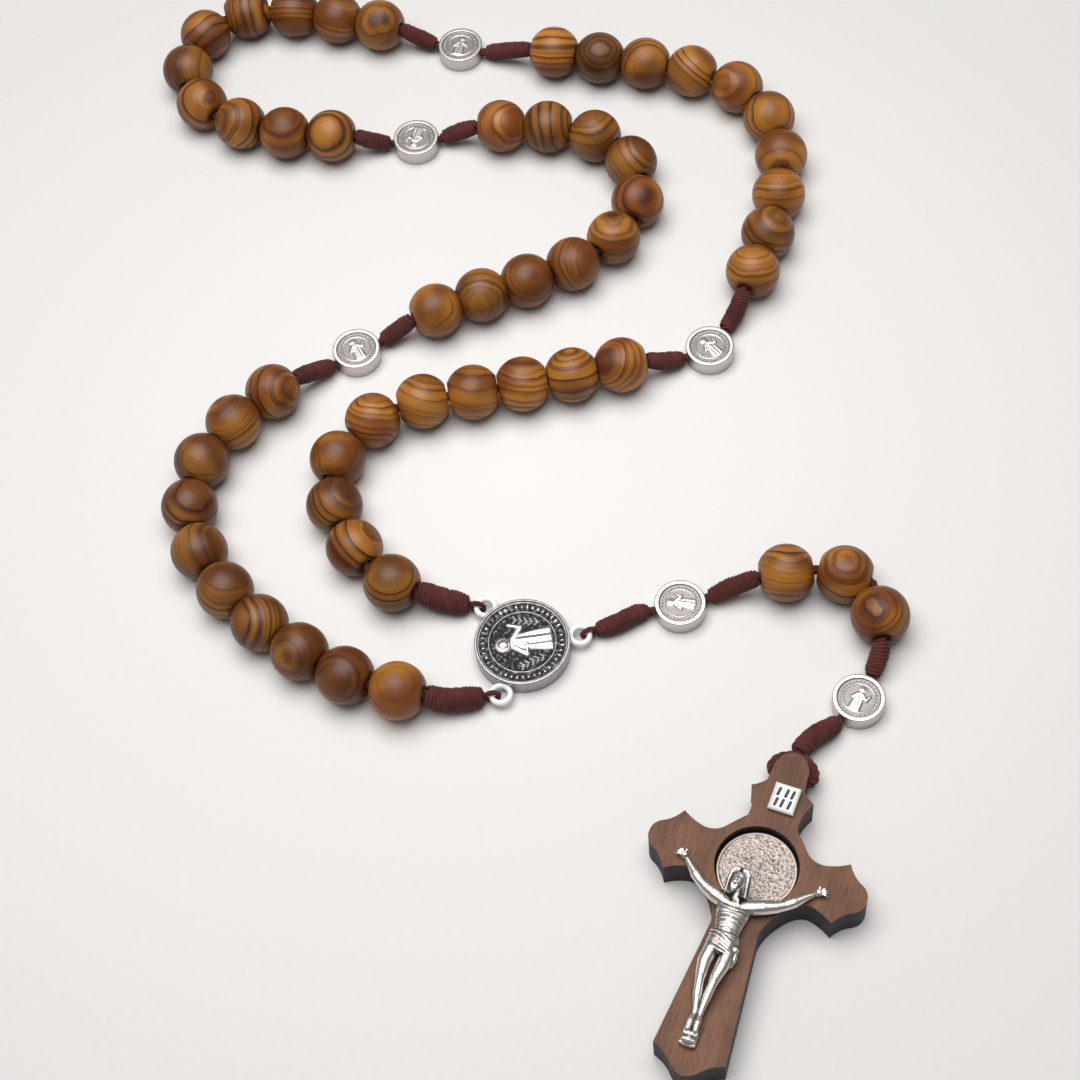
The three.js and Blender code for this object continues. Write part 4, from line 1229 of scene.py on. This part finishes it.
# feet side by side over the block
chain(work, [(-1.15, -26.6, 1.05, 0.44), (-1.35, -27.8, 1.4, 0.52), (-1.4, -29.0, 1.35, 0.46)])
chain(work, [(-0.3, -26.6, 1.15, 0.44), (-0.2, -27.8, 1.45, 0.52), (-0.15, -29.0, 1.4, 0.46)])
for toe in range(4):
    chain(work, [(-1.75 + toe * 0.24, -29.1, 1.25, 0.16), (-1.78 + toe * 0.25, -29.6, 1.2, 0.15)])
    chain(work, [(-0.45 + toe * 0.24, -29.1, 1.3, 0.16), (-0.45 + toe * 0.25, -29.6, 1.25, 0.15)])
bmesh.ops.create_cube(work, size=1.0, matrix=Matrix.Translation(Vector((-0.7, -30.3, BACK + 0.45)) * MM)
                      @ Matrix.Diagonal(Vector((2.6 * MM, 2.1 * MM, 0.9 * MM, 1.0))))
for bulge in (-29.7, -30.6):
    chain(work, [(-1.5, bulge, 0.85, 0.5), (-0.7, bulge, 1.05, 0.52), (0.1, bulge, 0.85, 0.5)])
chain(work, [(-1.4, -31.2, 0.5, 0.4), (0.0, -31.2, 0.5, 0.4)])
figure_mesh = bpy.data.meshes.new("cast_figure")
work.to_mesh(figure_mesh)
work.free()
figure = put("cast_figure", figure_mesh)
fuse = figure.modifiers.new("fuse", "REMESH")
fuse.mode = "VOXEL"
fuse.voxel_size = 0.105 * MM
ease = figure.modifiers.new("ease", "SMOOTH")
ease.factor = 0.5
ease.iterations = 3
finished(figure)
for vert in figure.data.vertices:
    vert.co.z = max(vert.co.z, BACK * MM)


HAIR_WEAR = 0.3
BODY_WEAR = 0.58


def in_hair(spot):
    """Whether a point lies on the hair, round the face and down to the shoulders."""
    x, y = spot.x / MM + 1.6, spot.y / MM + 4.6
    return -3.4 < y < 2.2 and abs(x) < 2.2 and math.hypot(x, (y + 0.2) / 1.45) > 1


def mark_hollows(mesh, reach):
    """Stores how worn each point is: proud points bright, hollow ones and the hair dull."""
    work = bmesh.new()
    work.from_mesh(mesh)
    depth = [0.0] * len(work.verts)
    for vert in work.verts:
        around = [edge.other_vert(vert).co for edge in vert.link_edges]
        middle = sum(around, Vector()) / len(around)
        depth[vert.index] = (vert.co - middle).dot(vert.normal) / reach
    links = [[edge.other_vert(v).index for edge in v.link_edges] for v in work.verts]
    for _ in range(7):
        depth = [0.4 * d + 0.6 * sum(depth[i] for i in link) / len(link) for d, link in zip(depth, links)]
    work.free()
    worn = [max(0.0, min(1.0, (HAIR_WEAR if in_hair(v.co) else BODY_WEAR) + d))
            for v, d in zip(mesh.vertices, depth)]
    mesh.attributes.new("wear", "FLOAT", "POINT").data.foreach_set("value", worn)


mark_hollows(figure.data, reach=0.012 * MM)
smooth(figure.data)
figure.data.transform(cross_place)
figure_silver = silver_finish("figure_silver", paint(224, 216, 209), paint(70, 66, 66),
                              rubbed=0.3, rough=0.52)
figure.data.materials.append(figure_silver)
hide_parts("corpus")
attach(figure, "crucifix")

pin_silver = silver_finish("pin_silver", paint(214, 210, 206), paint(170, 166, 162),
                           rubbed=0.3, rough=0.4)
for pin in ("corpus_pin_left_hand", "corpus_pin_right_hand"):
    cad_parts[pin].data.materials.clear()
    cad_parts[pin].data.materials.append(pin_silver)


# ---------- the plate over the figure ----------
# A small satin plate with a turned-up border, engraved with plain upright strokes.
PLATE_AT = (0.6, 12.1)
PLATE_SIZE = (4.3, 4.8)
PLATE_THICKNESS = 0.5


def plate_finish():
    """Satin pale metal, its engraved strokes filled dark."""
    finish = Finish("title_plate", Metallic=0.35)
    cut = finish.measure("cut")
    speck = finish.noise(finish.place(), 2600.0, 3.0)
    satin = finish.mix(speck, paint(190, 189, 188), paint(222, 221, 219))
    finish.feed("Base Color", finish.mix(cut.step(0.3, 0.7), satin, paint(46, 44, 48)))
    finish.feed("Roughness", 0.36 + speck * 0.2)
    finish.bump(speck, 0.2, 0.00004)
    return finish.material


# Two rows of three strokes, each from its top to its foot.
STROKES = [((-1.1, 1.5), (-1.25, 0.35)), ((0.2, 1.5), (0.05, 0.35)), ((1.2, 1.5), (1.05, 0.35)),
           ((-1.05, -0.35), (-1.2, -1.5)), ((-0.05, -0.35), (-0.2, -1.5)), ((1.15, -0.35), (1.0, -1.5))]


def engraved_plate(name):
    """A fine grid over the plate's front, sunk along each stroke, on a plain backed slab."""
    across, up = 56, 58
    wide, tall = PLATE_SIZE
    work = bmesh.new()
    cut_layer = work.verts.layers.float.new("cut")
    front = []
    for j in range(up + 1):
        row = []
        for i in range(across + 1):
            x, y = wide * (i / across - 0.5), tall * (j / up - 0.5)
            cut = max(limb(x, y, a, b, 0.26) for a, b in STROKES)
            # a border raised a little way in, and the outermost edge eased down
            inset = min(wide / 2 - abs(x), tall / 2 - abs(y))
            rim = 0.12 * max(0.0, 1 - abs(inset - 0.28) / 0.2)
            edge = -0.1 * max(0.0, 1 - inset / 0.12)
            vert = work.verts.new((x, y, PLATE_THICKNESS + rim + edge - 0.14 * cut))
            vert[cut_layer] = cut
            row.append(vert)
        front.append(row)
    for j in range(up):
        for i in range(across):
            work.faces.new((front[j][i], front[j][i + 1], front[j + 1][i + 1], front[j + 1][i]))
    border = ([front[0][i] for i in range(across)] + [front[j][across] for j in range(up)]
              + [front[up][i] for i in range(across, 0, -1)] + [front[j][0] for j in range(up, 0, -1)])
    foot = [work.verts.new((v.co.x, v.co.y, 0)) for v in border]
    count = len(border)
    for i in range(count):
        work.faces.new((border[i], foot[i], foot[(i + 1) % count], border[(i + 1) % count]))
    work.faces.new(foot)
    mesh = bpy.data.meshes.new(name)
    work.to_mesh(mesh)
    work.free()
    mesh.transform(Matrix.Diagonal((MM, MM, MM, 1)))
    return put(name, mesh)


plate = engraved_plate("engraved_plate")
plate.data.transform(cross_place @ Matrix.Translation(Vector((*PLATE_AT, BACK)) * MM))
plate.data.materials.append(plate_finish())
outward(plate)
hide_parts("cross_title_plate")
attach(plate, "crucifix")


# ---------- the cord round the crucifix tab ----------
# The pendant cord goes through the tab's hole and hugs the wood up both sides to the last knot.
TAB_LOOP = [(2.2, 17.55), (3.45, 18.0), (3.45, 19.4), (2.35, 20.8), (0.0, 21.6),
            (-2.35, 20.8), (-3.45, 19.4), (-3.45, 18.0), (-2.2, 17.55)]


def on_cross(u, v, z):
    """A point of the crucifix, in the frame's millimetres."""
    return cross_place @ (Vector((u, v, z)) * MM) / MM


tab_run = Run(on_cross(-0.4, TAB_HOLE_UP, CROSS_MIDDLE),
              [tuple(on_cross(u, v, CROSS_MIDDLE)) for u, v in TAB_LOOP],
              on_cross(0.4, TAB_HOLE_UP, CROSS_MIDDLE))
tab_loop = tie_cord("tab_loop", tab_run.stretch(0, tab_run.length, 0.4), [])
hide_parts("cord_cross_loop")
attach(tab_loop, "crucifix")


# ---------- the table ----------
# A pale table top under a soft overhead light, in metres, its colour painted darker away from the middle as
# painted light falloff.
PAINTED_FALLOFF_REACH = 0.14                # how far from the middle the painted light falloff is at its darkest

floor_mesh = bpy.data.meshes.new("table_top")
floor_mesh.from_pydata([(-3, -3, 0), (3, -3, 0), (3, 3, 0), (-3, 3, 0)], [], [(0, 1, 2, 3)])
floor = put("table_top", floor_mesh)
table_finish = Finish("table_white", Roughness=0.7, Specular_IOR_Level=0.2)
paper = table_finish.noise(table_finish.place(), 900.0, 3.0)
from_middle = table_finish.node("ShaderNodeVectorMath", {"operation": "LENGTH"},
                                {0: table_finish.place()}, 1)
# painted light: the table's colour darkens away from the middle and stands in for the overhead light's
# falloff
painted_falloff_tone = table_finish.mix(from_middle / PAINTED_FALLOFF_REACH, paint(210, 208, 206), paint(192, 190, 188))
table_finish.feed("Base Color", table_finish.mix(paper * 0.1, painted_falloff_tone, paint(236, 234, 232)))
floor_mesh.materials.append(table_finish.material)

world = bpy.data.worlds.new("room")
world.use_nodes = True
world.node_tree.nodes["Background"].inputs["Color"].default_value = paint(243, 245, 250)
world.node_tree.nodes["Background"].inputs["Strength"].default_value = 0.2
bpy.context.scene.world = world
bpy.context.scene.view_settings.view_transform = "Standard"


def softbox(name, at, size, watts, colour):
    """A square light turned towards the middle of the table."""
    light = bpy.data.lights.new(name, "AREA")
    light.shape = "SQUARE"
    light.size = size
    light.energy = watts
    light.color = colour
    lamp = bpy.data.objects.new(name, light)
    lamp.location = at
    lamp.rotation_euler = (-Vector(at)).to_track_quat("-Z", "Y").to_euler()
    bpy.context.scene.collection.objects.link(lamp)


softbox("overhead_softbox", at=(-0.06, 0.06, 0.78), size=0.76, watts=10.6, colour=(1.0, 0.994, 0.984))
